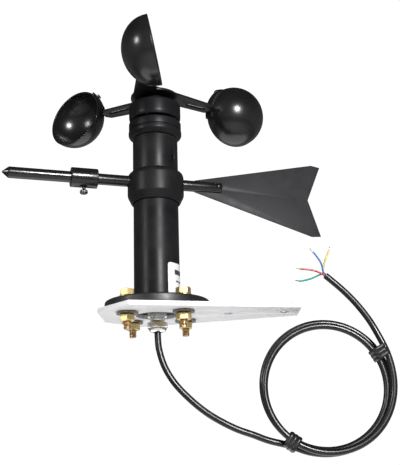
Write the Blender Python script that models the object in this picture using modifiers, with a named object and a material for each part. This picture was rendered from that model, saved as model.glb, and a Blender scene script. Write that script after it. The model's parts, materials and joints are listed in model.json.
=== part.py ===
"""Cup anemometer with a wind vane, on a flat bracket arm, with its cable wound in a coil.

Metres, +Z up. The origin is on the bracket's underside, midway between its two mast holes, and the
bracket arm runs along X, so that the sensor column stands at negative X. Pieces on the column are
measured from its axis and from the bracket's top face, and are placed by one empty on that axis.
Run with: blender --background --python part.py
"""
import math

import bmesh
import bpy
from mathutils import Matrix, Vector

# ---------------------------------------------------------------- driving dimensions
TOUCH_GAP = 0.0003  # left between pieces that touch each other
RUNNING_GAP = 0.0006  # left between pieces that turn on each other
RIM_GAP = 0.0002  # between a cable and the bore that it passes through

# bracket
PLATE_THICK = 0.0033
PLATE_BACK = 0.0429  # column axis to the wide end
PLATE_END = 0.1078  # column axis to the mast end
PLATE_WIDE = 0.0980
PLATE_BACK_WIDTH = 0.0414
PLATE_CORNER = 0.0256  # length of the cut corners along the arm
PLATE_END_WIDTH = 0.0344
CABLE_HOLE = 0.0330
MAST_HOLE = 0.0070
MAST_HOLE_NEAR = 0.0540  # column axis to the first mast hole
MAST_HOLE_PITCH = 0.0430  # between the two mast holes

# flange and its fasteners
FLANGE_DIAMETER = 0.0800
FLANGE_THICK = 0.0067
FLANGE_EDGE = 0.0010
SOCKET_DEPTH = 0.0036
BOLT_OFFSET = 0.0005  # bolt circle, outside the middle between the lower tube and the flange's rim
BOLT_DIAMETER = 0.0058
BOLT_HOLE = 0.0066
BOLT_BELOW_NUT = 0.0060
HEX_ACROSS = 0.0100
BOLT_HEAD_HEIGHT = 0.0046
NUT_HEIGHT = 0.0050
WASHER_DIAMETER = 0.0164
TOP_WASHER_DIAMETER = 0.0124
WASHER_THICK = 0.0015

# column
LOWER_DIAMETER = 0.0354
LOWER_LENGTH = 0.0855  # up to the shoulder where the neck begins
LOWER_WALL = 0.0020
LOWER_EDGE = 0.0004
SHOULDER_THICK = 0.0040
NECK_DIAMETER = 0.0220
NECK_BORE = 0.0160
NECK_GRIP = 0.0166  # length of the neck inside the upper tube
UPPER_DIAMETER = 0.0360
UPPER_LENGTH = 0.0285
UPPER_WALL = 0.0025
SET_SCREW_RISE = 0.0101  # above the upper tube's lower end
SET_SCREW_DIAMETER = 0.0032
SET_SCREW_SINK = 0.0008
SET_SCREW_AZIMUTH = -35.4

# wind vane
VANE_AZIMUTH = 18.2  # direction of the tail fin
VANE_HUB_HEIGHT = 0.0250
VANE_HUB_WALL = 0.0046  # hub's outside, beyond the lower tube's
VANE_SKIRT = 0.0034  # how far the hub reaches down over the lower tube
VANE_LIP_WALL = 0.0016
VANE_LIP_HEIGHT = 0.0061
VANE_ROUNDING = 0.0030
VANE_TOP_WALL = 0.0023
VANE_BEARING_THICK = 0.0050
VANE_BEARING_INSET = 0.0002
MAGNET_RING_WALL = 0.0015
ROD_BELOW_TOP = 0.0073  # rods' axis below the vane hub's top
ROD_DIAMETER = 0.0089
ROD_END_WALL = 0.0012  # vane hub left between a rod's hole and the magnet ring's seat
FRONT_ROD_REACH = 0.1196
ROD_POINT = 0.0050
ROD_EDGE = 0.0008
SLEEVE_CENTRE = 0.0573
SLEEVE_LENGTH = 0.0207
SLEEVE_WALL = 0.0033
SLEEVE_EDGE = 0.0005
THUMB_STEM = 0.0030
THUMB_HEAD = 0.0062
THUMB_HEAD_HEIGHT = 0.0028
THUMB_NECK = 0.0024  # bare stem between the sleeve and the thumb head
REAR_ROD_REACH = 0.0550
FIN_THICK = 0.0010
FIN_SLOT_DEPTH = 0.0240
FIN_SLOT_CLEARANCE = 0.0013  # between the slot's end and the fin's front edge
FIN_LENGTH = 0.1112
FIN_FRONT_HEIGHT = 0.0100
FIN_TAIL_HEIGHT = 0.0636
FIN_NOTCH = 0.0115  # how far the tail is notched in
FIN_CLIP = 0.0080  # length of the clipped tail corners
FIN_CLIP_FALL = 0.0010
FIN_DROOP = 2.8
RIVET_DIAMETER = 0.0024
RIVET_HEAD_HEIGHT = 0.0007
RIVET_FROM_END = 0.0034

# rotor
HOUSING_HEIGHT = 0.0138
HOUSING_STEP = 0.0034  # housing's outside, beyond the upper tube's
HOUSING_CHAMFER = 0.0032
HOUSING_TAPER = 0.0004
BEARING_SEAT_WALL = 0.0049
HOUSING_COLLAR_HEIGHT = 0.0036
SPIGOT_DEPTH = 0.0058
BEARING_DIAMETER = 0.0190
BEARING_THICK = 0.0050
LOWER_BEARING_SINK = 0.0010
UPPER_BEARING_SINK = 0.0020
SHAFT_DIAMETER = 0.0080
SHAFT_CLEARANCE = 0.0024  # round the shaft between the bearings
SHAFT_TAIL = 0.0054  # shaft below the lower bearing
MAGNET_DIAMETER = 0.0100
MAGNET_THICK = 0.0035
HUB_GAP = 0.0021  # air between the housing and the rotor hub
HUB_INSET = 0.0004  # hub's outside, within the housing's
HUB_HEIGHT = 0.0142
HUB_EDGE = 0.0015
HUB_BOSS_DIAMETER = 0.0220
HUB_BOSS_HEIGHT = 0.0059
SPIDER_THICK = 0.0018
SPIDER_DISC = 0.0390
ARM_AZIMUTH = -85.7
ARM_LEADING = 0.0015  # leading edge, ahead of the arm's radial line
ARM_TRAILING_ROOT = 0.0180
ARM_TRAILING_TIP = 0.0130
ARM_REACH = 0.0530
ARM_SLOT_START = 0.0277
ARM_SLOT_MARGIN = 0.0059  # between the slot and the arm's end
ARM_SLOT_WIDTH = 0.0034
ARM_SLOT_OFFSET = 0.0047
CUP_COUNT = 3
CUP_RADIUS = 0.0261
CUP_DEPTH = 0.0246
CUP_WALL = 0.0010
CUP_CLEARANCE = 0.0007  # between an arm's end and its cup
CUP_RISE = 0.0017  # middle of a cup's rim, above the arms' underside
CUP_TILT = 9.8  # how far a cup's mouth looks up
CUP_TOE = 7.05  # how far a cup's mouth is turned away from the rotor axis
TAB_THICK = 0.0014
TAB_FRONT = 0.0008  # distance behind the rim
TAB_WIDTH = 0.0078
TAB_BELOW = 12.0  # degrees round the cup, below and above its side that faces the rotor axis
TAB_ABOVE = 52.0
CUP_SCREW_ANGLES = (10.0, 42.0)
CUP_SCREW_DIAMETER = 0.0024
CUP_SCREW_HEAD = 0.0046
CUP_SCREW_HEAD_HEIGHT = 0.0013
CUP_SCREW_END = 0.0012  # screw showing inside the cup
CAP_NUT_ACROSS = 0.0130
CAP_NUT_HEIGHT = 0.0062
CAP_NUT_DOME = 0.0014
CAP_NUT_DOME_DIAMETER = 0.0108
SHAFT_IN_NUT = 0.0034

# gland, cable and electronics
GLAND_THREAD = 0.0118
GLAND_THREAD_TOP = 0.0088
GLAND_HEX_ACROSS = 0.0143
GLAND_HEX_HEIGHT = 0.0052
GLAND_NECK_LENGTH = 0.0034
GLAND_NUT_ACROSS = 0.0150
GLAND_NUT_HEIGHT = 0.0074
GLAND_LIP = 0.0011
GLAND_THREAD_STEP = 0.0006
GLAND_DOME = 0.0031
SEAL_THICK = 0.0016
CABLE_DIAMETER = 0.0050
CABLE_INSIDE = 0.0045  # height of the cable's inner end
COIL_CENTRE = (0.1243, -0.0599)  # distance from the column axis, and height
COIL_INNER = 0.0420
COIL_OUTER = 0.0508
COIL_HALF_THICK = 0.0080
COIL_EDGE = 0.0030
TIE_LENGTH = 0.0090
TIE_WALL = 0.0014
TIE_GAP = 0.0006
TIE_ANGLES = (-125.0, 30.0)  # round the coil, from its side away from the column
WIRE_DIAMETER = 0.0015
WIRE_SPREAD = 0.0009  # each wire's place on the cable's end face, from its middle
BOARD_THICK = 0.0016
BOARD_ABOVE_GLAND = 0.0062
BOARD_BELOW_SHOULDER = 0.0010
BOARD_AIR_GAP = 0.0016  # between the board's tongue and the rotor's magnet

# The cable hangs in the plane of the arm: distance from the column axis, and height.
LEAD_ROUTE = (
    (0.0000, CABLE_INSIDE), (0.0000, -0.0100), (0.0001, -0.0190), (0.0010, -0.0290), (0.0050, -0.0420),
    (0.0125, -0.0545), (0.0232, -0.0661), (0.0346, -0.0758), (0.0462, -0.0832), (0.0576, -0.0889),
    (0.0691, -0.0931), (0.0804, -0.0974), (0.0872, -0.0997),
)
TAIL_ROUTE = (
    (0.1664, -0.0264), (0.1629, -0.0188), (0.1575, -0.0083), (0.1499, 0.0029), (0.1410, 0.0132),
    (0.1296, 0.0241),
)
# Each wire fans out from its own quarter of the cable's end face. The quarter is given as the side of
# the cable it is on and whether it is nearer or farther, and the route as in the cable's, with depth.
WIRE_ROUTES = {
    "wire_blue": ((1, -1), ((0.1266, -0.0018, 0.0337), (0.1222, -0.0026, 0.0409), (0.1185, -0.0030, 0.0452))),
    "wire_yellow": ((1, 1), ((0.1299, 0.0016, 0.0349), (0.1334, 0.0022, 0.0431), (0.1350, 0.0024, 0.0474))),
    "wire_red": ((-1, -1), ((0.1203, -0.0018, 0.0280), (0.1122, -0.0026, 0.0291), (0.1070, -0.0030, 0.0297))),
    "wire_green": ((-1, 1), ((0.1187, 0.0018, 0.0224), (0.1110, 0.0028, 0.0210), (0.1065, 0.0034, 0.0218))),
}

# segment counts
ROUND = 40
SMALL_ROUND = 16
CUP_SEGMENTS = 32
CUP_RINGS = 6

# ---------------------------------------------------------------- derived sizes
MAST_ARM = MAST_HOLE_NEAR + MAST_HOLE_PITCH / 2  # column axis to the origin
PLATE_UNDER = -PLATE_THICK
FLANGE_BASE = TOUCH_GAP
FLANGE_TOP = FLANGE_BASE + FLANGE_THICK
SOCKET_FLOOR = FLANGE_TOP - SOCKET_DEPTH
BOLT_CIRCLE_RADIUS = (FLANGE_DIAMETER + LOWER_DIAMETER) / 4 + BOLT_OFFSET
ARM_PITCH = 360.0 / CUP_COUNT

LOWER_BASE = SOCKET_FLOOR + TOUCH_GAP
LOWER_RADIUS = LOWER_DIAMETER / 2
SHOULDER_HEIGHT = LOWER_BASE + LOWER_LENGTH
NECK_RADIUS = NECK_DIAMETER / 2
VANE_HUB_BOTTOM = SHOULDER_HEIGHT - VANE_SKIRT
VANE_HUB_TOP = VANE_HUB_BOTTOM + VANE_HUB_HEIGHT
VANE_HUB_RADIUS = LOWER_RADIUS + VANE_HUB_WALL
VANE_BEARING_BASE = SHOULDER_HEIGHT + TOUCH_GAP
VANE_BEARING_TOP = VANE_BEARING_BASE + VANE_BEARING_THICK
VANE_BEARING_RADIUS = LOWER_RADIUS - VANE_BEARING_INSET
MAGNET_RING_BORE = NECK_RADIUS + 2 * RUNNING_GAP
VANE_WEB_RADIUS = MAGNET_RING_BORE + MAGNET_RING_WALL + TOUCH_GAP
ROD_HEIGHT = VANE_HUB_TOP - ROD_BELOW_TOP
ROD_RADIUS = ROD_DIAMETER / 2
ROD_START = VANE_WEB_RADIUS + ROD_END_WALL + TOUCH_GAP
FIN_START = REAR_ROD_REACH - FIN_SLOT_DEPTH + FIN_SLOT_CLEARANCE

UPPER_BASE = VANE_HUB_TOP + RUNNING_GAP
UPPER_TOP = UPPER_BASE + UPPER_LENGTH
UPPER_RADIUS = UPPER_DIAMETER / 2
NECK_TOP = UPPER_BASE + NECK_GRIP
HOUSING_BASE = UPPER_TOP + TOUCH_GAP
HOUSING_TOP = HOUSING_BASE + HOUSING_HEIGHT
HOUSING_RADIUS = UPPER_RADIUS + HOUSING_STEP
COLLAR_RADIUS = BEARING_DIAMETER / 2 + TOUCH_GAP + BEARING_SEAT_WALL
COLLAR_TOP = HOUSING_TOP + HOUSING_COLLAR_HEIGHT
SPIGOT_BASE = HOUSING_BASE - SPIGOT_DEPTH
LOWER_BEARING_BASE = SPIGOT_BASE + LOWER_BEARING_SINK
UPPER_BEARING_BASE = COLLAR_TOP - UPPER_BEARING_SINK - BEARING_THICK
SHAFT_BOTTOM = LOWER_BEARING_BASE - SHAFT_TAIL
MAGNET_BASE = SHAFT_BOTTOM - TOUCH_GAP - MAGNET_THICK
HUB_BOTTOM = HOUSING_TOP + HUB_GAP
HUB_TOP = HUB_BOTTOM + HUB_HEIGHT
HUB_RADIUS = HOUSING_RADIUS - HUB_INSET
HUB_BOSS_TOP = HUB_TOP + HUB_BOSS_HEIGHT
SPIDER_HEIGHT = HUB_BOSS_TOP + TOUCH_GAP
SPIDER_TOP = SPIDER_HEIGHT + SPIDER_THICK
CUP_CENTRE = SPIDER_HEIGHT + CUP_RISE
CUP_REACH = ARM_REACH + CUP_CLEARANCE + CUP_RADIUS
ARM_SLOT_END = ARM_REACH - ARM_SLOT_MARGIN
CAP_NUT_BASE = SPIDER_TOP + TOUCH_GAP
SHAFT_TOP = CAP_NUT_BASE + SHAFT_IN_NUT

GLAND_HEX_TOP = FLANGE_BASE - TOUCH_GAP
GLAND_HEX_BASE = GLAND_HEX_TOP - GLAND_HEX_HEIGHT
GLAND_NUT_TOP = GLAND_HEX_BASE - GLAND_NECK_LENGTH
GLAND_NUT_BASE = GLAND_NUT_TOP - GLAND_NUT_HEIGHT
CABLE_BORE = CABLE_DIAMETER / 2 + RIM_GAP + TOUCH_GAP


# ---------------------------------------------------------------- scene and materials
def clear_scene():
    """Remove every object, mesh and collection that the file starts with."""
    for item in list(bpy.data.objects):
        bpy.data.objects.remove(item, do_unlink=True)
    for group in list(bpy.data.collections):
        bpy.data.collections.remove(group)


def new_collection(name):
    """Return a new collection linked to the scene."""
    group = bpy.data.collections.new(name)
    bpy.context.scene.collection.children.link(group)
    return group


def new_material(name, colour, roughness, metallic=0.0):
    """Return a Principled material of one colour."""
    material = bpy.data.materials.new(name)
    material.use_nodes = True
    shader = material.node_tree.nodes["Principled BSDF"]
    shader.inputs["Base Color"].default_value = (*colour, 1.0)
    shader.inputs["Roughness"].default_value = roughness
    shader.inputs["Metallic"].default_value = metallic
    material.diffuse_color = (*colour, 1.0)
    return material


def new_axis(name, parent=None, location=(0.0, 0.0, 0.0), turn=0.0):
    """Return an empty that pieces hang on; `turn` is in degrees about Z."""
    axis = bpy.data.objects.new(name, None)
    axis.empty_display_size = 0.01
    PARTS.objects.link(axis)
    axis.parent = parent
    axis.location = location
    axis.rotation_euler.z = math.radians(turn)
    return axis


def new_part(name, mesh, material, parent, matrix=None):
    """Put a mesh in the parts collection as one named piece."""
    part = bpy.data.objects.new(name, mesh)
    PARTS.objects.link(part)
    part.parent = parent
    if matrix is not None:
        part.matrix_basis = matrix
    if not mesh.materials:
        mesh.materials.append(material)
    mesh.shade_smooth()
    mesh.set_sharp_from_angle(angle=math.radians(35))
    return part


def new_cutter(name, mesh, parent, matrix=None):
    """Put a mesh in the cutters collection, hidden from renders."""
    cutter = bpy.data.objects.new(name, mesh)
    CUTTERS.objects.link(cutter)
    cutter.parent = parent
    if matrix is not None:
        cutter.matrix_basis = matrix
    cutter.hide_render = True
    cutter.display_type = "WIRE"
    return cutter


def add_boolean(part, tool, operation="DIFFERENCE"):
    """Cut `part` with `tool`, or join them."""
    modifier = part.modifiers.new(f"{operation.lower()}_{tool.name}", "BOOLEAN")
    modifier.operation = operation
    modifier.solver = "EXACT"
    modifier.object = tool


# ---------------------------------------------------------------- mesh builders
def evaluated_mesh(item):
    """Return the item's mesh with its modifiers applied, and remove the item."""
    bpy.context.view_layer.update()
    graph = bpy.context.evaluated_depsgraph_get()
    mesh = bpy.data.meshes.new_from_object(item.evaluated_get(graph))
    mesh.name = item.name
    bpy.data.objects.remove(item, do_unlink=True)
    return mesh


def moved(mesh, matrix):
    """Return a copy of a mesh with a matrix applied."""
    copy = mesh.copy()
    copy.transform(matrix)
    return copy


def joined(name, base, *steps):
    """Apply (operation, mesh) steps to a base mesh with exact Booleans."""
    item = new_cutter(name, base, None)
    tools = []
    for index, (operation, mesh) in enumerate(steps):
        tool = new_cutter(f"{name}_tool_{index}", mesh, None)
        add_boolean(item, tool, operation)
        tools.append(tool)
    result = evaluated_mesh(item)
    for tool in tools:
        bpy.data.objects.remove(tool, do_unlink=True)
    return result


def turned(name, profile, segments=ROUND, closed=True):
    """Turn a profile of (radius, height) points about Z; its outer side runs top to bottom."""
    mesh = bpy.data.meshes.new(name)
    count = len(profile)
    edges = [(i, i + 1) for i in range(count - 1)]
    if closed:
        edges.append((count - 1, 0))
    mesh.from_pydata([(radius, 0.0, height) for radius, height in profile], edges, [])
    item = bpy.data.objects.new(name, mesh)
    CUTTERS.objects.link(item)
    screw = item.modifiers.new("turn", "SCREW")
    screw.steps = segments
    screw.render_steps = segments
    screw.use_merge_vertices = True
    screw.merge_threshold = 0.00001
    return evaluated_mesh(item)


def ring(name, inner, outer, base, top, segments=ROUND):
    """A plain ring about Z: a washer, a bearing or a seal."""
    return turned(name, [(inner, top), (outer, top), (outer, base), (inner, base)], segments)


def arc(centre_radius, centre_height, radius, start, end, count=5):
    """Points of a profile arc, from `start` to `end` degrees."""
    points = []
    for step in range(count):
        angle = math.radians(start + (end - start) * step / (count - 1))
        points.append((centre_radius + radius * math.cos(angle), centre_height + radius * math.sin(angle)))
    return points


def prism(name, radius, bottom, top, segments, turn=0.0):
    """A cylinder, or a hexagonal prism, standing between two heights."""
    mesh = bpy.data.meshes.new(name)
    shape = bmesh.new()
    place = Matrix.Translation((0, 0, (bottom + top) / 2)) @ Matrix.Rotation(math.radians(turn), 4, "Z")
    bmesh.ops.create_cone(shape, cap_ends=True, segments=segments, radius1=radius, radius2=radius,
                          depth=top - bottom, matrix=place)
    shape.to_mesh(mesh)
    shape.free()
    return mesh


def hexagon(name, across, bottom, top):
    """A hexagonal prism by its width across the flats."""
    return prism(name, across / 2 / math.cos(math.radians(30)), bottom, top, 6, 30.0)


def box(name, size, centre):
    """A box by its size and centre."""
    mesh = bpy.data.meshes.new(name)
    shape = bmesh.new()
    bmesh.ops.create_cube(shape, size=1.0, matrix=Matrix.Translation(centre) @ Matrix.Diagonal((*size, 1.0)))
    shape.to_mesh(mesh)
    shape.free()
    return mesh


def flat_sheet(name, loops, thickness):
    """A sheet from closed outlines in XY, the first being the edge and the others holes."""
    curve = bpy.data.curves.new(name, "CURVE")
    curve.dimensions = "2D"
    curve.fill_mode = "BOTH"
    curve.extrude = thickness / 2
    for loop in loops:
        spline = curve.splines.new("POLY")
        spline.points.add(len(loop) - 1)
        for point, (x, y) in zip(spline.points, loop):
            point.co = (x, y, 0.0, 1.0)
        spline.use_cyclic_u = True
    return welded_curve(name, curve)


def tube(name, points, radius, bevel_resolution):
    """A round tube with closed ends along 3-D points."""
    curve = bpy.data.curves.new(name, "CURVE")
    curve.dimensions = "3D"
    curve.bevel_depth = radius
    curve.bevel_resolution = bevel_resolution
    curve.use_fill_caps = True
    spline = curve.splines.new("POLY")
    spline.points.add(len(points) - 1)
    for point, place in zip(spline.points, points):
        point.co = (*place, 1.0)
    return welded_curve(name, curve)


def welded_curve(name, curve):
    """Turn a curve into a closed mesh."""
    item = bpy.data.objects.new(name, curve)
    CUTTERS.objects.link(item)
    mesh = evaluated_mesh(item)
    shape = bmesh.new()
    shape.from_mesh(mesh)
    bmesh.ops.remove_doubles(shape, verts=shape.verts, dist=0.000005)
    shape.to_mesh(mesh)
    shape.free()
    return mesh


def circle_loop(x, y, radius, segments=SMALL_ROUND):
    """Points round a circle."""
    turns = [math.tau * i / segments for i in range(segments)]
    return [(x + radius * math.cos(turn), y + radius * math.sin(turn)) for turn in turns]


def smooth_route(points, spacing):
    """Read points at an even spacing from a Catmull-Rom curve through the route's own points."""
    knots = [Vector(point) for point in points]
    knots = [2 * knots[0] - knots[1], *knots, 2 * knots[-1] - knots[-2]]
    dense = []
    for before, start, end, after in zip(knots, knots[1:], knots[2:], knots[3:]):
        for step in range(24):
            t = step / 24
            dense.append(0.5 * (2 * start + (end - before) * t
                                + (2 * before - 5 * start + 4 * end - after) * t ** 2
                                + (3 * start - before - 3 * end + after) * t ** 3))
    dense.append(knots[-2])
    length = sum((b - a).length for a, b in zip(dense, dense[1:]))
    count = max(2, round(length / spacing))
    route = [dense[0]]
    walked = 0.0
    for a, b in zip(dense, dense[1:]):
        step = (b - a).length
        while len(route) < count and walked + step >= length * len(route) / count:
            route.append(a.lerp(b, (length * len(route) / count - walked) / step))
        walked += step
    route.append(dense[-1])
    return route


# ---------------------------------------------------------------- bracket, flange and fasteners
def bolt_places():
    """The four bolt positions about the column axis."""
    half = BOLT_CIRCLE_RADIUS / math.sqrt(2)
    return [(-half, -half), (half, -half), (half, half), (-half, half)]


def build_bracket(column):
    """The flat bracket: a wide end under the flange that tapers to the mast end."""
    wide, back, end = PLATE_WIDE / 2, PLATE_BACK_WIDTH / 2, PLATE_END_WIDTH / 2
    corner = -PLATE_BACK + PLATE_CORNER
    outline = [(-PLATE_BACK, -back), (corner, -wide), (PLATE_END, -end),
               (PLATE_END, end), (corner, wide), (-PLATE_BACK, back)]
    holes = [circle_loop(0, 0, CABLE_HOLE / 2, ROUND)]
    holes += [circle_loop(x, y, BOLT_HOLE / 2) for x, y in bolt_places()]
    holes += [circle_loop(MAST_HOLE_NEAR + i * MAST_HOLE_PITCH, 0, MAST_HOLE / 2) for i in range(2)]
    sheet = flat_sheet("bracket_plate", [outline, *holes], PLATE_THICK)
    new_part("bracket_plate", sheet, WHITE_PAINT, column, Matrix.Translation((0, 0, PLATE_UNDER / 2)))


def build_flange(column):
    """The round base flange, with a socket for the lower tube and a threaded hole for the gland."""
    rim, socket = FLANGE_DIAMETER / 2, LOWER_RADIUS + TOUCH_GAP
    bore = GLAND_THREAD / 2 + TOUCH_GAP
    profile = [(socket, FLANGE_TOP), *arc(rim - FLANGE_EDGE, FLANGE_TOP - FLANGE_EDGE, FLANGE_EDGE, 90, 0),
               (rim, FLANGE_BASE), (bore, FLANGE_BASE), (bore, SOCKET_FLOOR), (socket, SOCKET_FLOOR)]
    flange = new_part("base_flange", turned("base_flange", profile, 56), BLACK_PAINT, column)
    for index, (x, y) in enumerate(bolt_places()):
        drill = prism("flange_drill", BOLT_HOLE / 2, FLANGE_BASE - 0.001, FLANGE_TOP + 0.001, SMALL_ROUND)
        place = Matrix.Translation((x, y, 0))
        add_boolean(flange, new_cutter(f"flange_drill_{index + 1}", drill, column, place))


def build_fasteners(column):
    """Four bolts down through the flange and bracket, each with two washers and a nut."""
    top_washer_base = FLANGE_TOP + TOUCH_GAP
    head_base = top_washer_base + WASHER_THICK + TOUCH_GAP
    washer_top = PLATE_UNDER - TOUCH_GAP
    nut_top = washer_top - WASHER_THICK - TOUCH_GAP
    nut_base = nut_top - NUT_HEIGHT
    shank = prism("bolt_shank", BOLT_DIAMETER / 2, nut_base - BOLT_BELOW_NUT, head_base + 0.001, SMALL_ROUND)
    head = hexagon("bolt_head", HEX_ACROSS, head_base, head_base + BOLT_HEAD_HEIGHT)
    bolt = joined("flange_bolt", head, ("UNION", shank))
    bore = BOLT_DIAMETER / 2 + TOUCH_GAP
    drill = prism("nut_drill", bore, nut_base - 0.001, nut_top + 0.001, SMALL_ROUND)
    nut = joined("flange_nut", hexagon("nut_body", HEX_ACROSS, nut_base, nut_top), ("DIFFERENCE", drill))
    washer_rims = {"flange_washer": (WASHER_DIAMETER / 2, washer_top),
                   "head_washer": (TOP_WASHER_DIAMETER / 2, top_washer_base + WASHER_THICK)}
    rings = {}
    for name, (rim, top) in washer_rims.items():
        rings[name] = ring(name, bore, rim, top - WASHER_THICK, top, 24)
    for index, (x, y) in enumerate(bolt_places()):
        place = Matrix.Translation((x, y, 0))
        number = index + 1
        new_part(f"flange_bolt_{number}", bolt, YELLOW_ZINC, column, place)
        new_part(f"flange_nut_{number}", nut, YELLOW_ZINC, column, place)
        new_part(f"flange_washer_{number}", rings["flange_washer"], YELLOW_ZINC, column, place)
        new_part(f"head_washer_{number}", rings["head_washer"], YELLOW_ZINC, column, place)


# ---------------------------------------------------------------- column
def build_column(column):
    """The lower tube with its turned neck, the upper tube round that neck, and the set screw."""
    inner, bore = LOWER_RADIUS - LOWER_WALL, NECK_BORE / 2
    web = SHOULDER_HEIGHT - SHOULDER_THICK
    profile = [(bore, NECK_TOP), (NECK_RADIUS, NECK_TOP), (NECK_RADIUS, SHOULDER_HEIGHT),
               (LOWER_RADIUS - LOWER_EDGE, SHOULDER_HEIGHT), (LOWER_RADIUS, SHOULDER_HEIGHT - LOWER_EDGE),
               (LOWER_RADIUS, LOWER_BASE), (inner, LOWER_BASE), (inner, web), (bore, web)]
    new_part("lower_tube", turned("lower_tube", profile), BLACK_PAINT, column)

    socket, bore, ledge = NECK_RADIUS + TOUCH_GAP, UPPER_RADIUS - UPPER_WALL, NECK_TOP + TOUCH_GAP
    profile = [(bore, UPPER_TOP), (UPPER_RADIUS, UPPER_TOP), (UPPER_RADIUS, UPPER_BASE), (socket, UPPER_BASE),
               (socket, ledge), (bore, ledge)]
    upper = new_part("upper_tube", turned("upper_tube", profile), BLACK_PAINT, column)
    screw_axis = new_axis("set_screw_axis", column, (0, 0, UPPER_BASE + SET_SCREW_RISE), SET_SCREW_AZIMUTH)
    lay_down = Matrix.Rotation(math.radians(90), 4, "Y")
    hole = SET_SCREW_DIAMETER / 2 + TOUCH_GAP
    drill = prism("set_screw_drill", hole, NECK_RADIUS, UPPER_RADIUS + 0.002, SMALL_ROUND)
    add_boolean(upper, new_cutter("set_screw_drill", drill, screw_axis, lay_down))
    seat = NECK_RADIUS + 2 * TOUCH_GAP
    screw = prism("set_screw", SET_SCREW_DIAMETER / 2, seat, UPPER_RADIUS - SET_SCREW_SINK, 12)
    new_part("set_screw", screw, DARK_STEEL, screw_axis, lay_down)


def build_board(column):
    """The sensor board: wide in the lower tube, with a tongue up the neck between the two magnets."""
    def half_width(bore):
        return math.sqrt(bore ** 2 - (BOARD_THICK / 2) ** 2) - TOUCH_GAP

    wide, tongue = half_width(LOWER_RADIUS - LOWER_WALL), half_width(NECK_BORE / 2)
    bottom, top = GLAND_THREAD_TOP + BOARD_ABOVE_GLAND, MAGNET_BASE - BOARD_AIR_GAP
    step = SHOULDER_HEIGHT - SHOULDER_THICK - BOARD_BELOW_SHOULDER
    half_outline = [(wide, bottom), (wide, step), (tongue, step), (tongue, top)]
    outline = [*half_outline, *[(-x, z) for x, z in reversed(half_outline)]]
    upright = Matrix.Rotation(math.radians(90), 4, "X")
    board = flat_sheet("circuit_board", [outline], BOARD_THICK)
    new_part("circuit_board", board, GREEN_BOARD, column, upright)


# ---------------------------------------------------------------- wind vane
def build_vane_hub(vane):
    """The turning hub, its bearing and the magnet ring that the sensor board reads."""
    rim, lip = VANE_HUB_RADIUS, LOWER_RADIUS + VANE_LIP_WALL
    top_bore, skirt_bore = NECK_RADIUS + RUNNING_GAP, LOWER_RADIUS + RUNNING_GAP
    seat = VANE_BEARING_RADIUS + TOUCH_GAP
    seat_top = VANE_BEARING_TOP + TOUCH_GAP
    ceiling = VANE_HUB_TOP - VANE_TOP_WALL
    profile = [(top_bore, VANE_HUB_TOP),
               *arc(rim - VANE_ROUNDING, VANE_HUB_TOP - VANE_ROUNDING, VANE_ROUNDING, 90, 0),
               (rim, VANE_HUB_BOTTOM + VANE_LIP_HEIGHT), (lip, VANE_HUB_BOTTOM),
               (skirt_bore, VANE_HUB_BOTTOM),
               (skirt_bore, VANE_BEARING_BASE), (seat, VANE_BEARING_BASE), (seat, seat_top),
               (VANE_WEB_RADIUS, seat_top), (VANE_WEB_RADIUS, ceiling), (top_bore, ceiling)]
    hub = new_part("vane_hub", turned("vane_hub", profile), BLACK_PAINT, vane)
    for name, turn in (("front_rod_drill", 180.0), ("rear_rod_drill", 0.0)):
        place = Matrix.Translation((0, 0, ROD_HEIGHT)) @ Matrix.Rotation(math.radians(turn), 4, "Z")
        place = place @ Matrix.Rotation(math.radians(90), 4, "Y")
        drill = prism(name, ROD_RADIUS + TOUCH_GAP, ROD_START - TOUCH_GAP, rim + 0.003, 24)
        add_boolean(hub, new_cutter(name, drill, vane, place))

    inner, outer = NECK_RADIUS + TOUCH_GAP, VANE_BEARING_RADIUS
    bearing = ring("vane_bearing", inner, outer, VANE_BEARING_BASE, VANE_BEARING_TOP)
    new_part("vane_bearing", bearing, BEARING_STEEL, vane)
    inner, outer = MAGNET_RING_BORE, VANE_WEB_RADIUS - TOUCH_GAP
    magnet = ring("vane_magnet_ring", inner, outer, seat_top + 2 * RUNNING_GAP, ceiling - TOUCH_GAP)
    new_part("vane_magnet_ring", magnet, MAGNET, vane)


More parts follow.
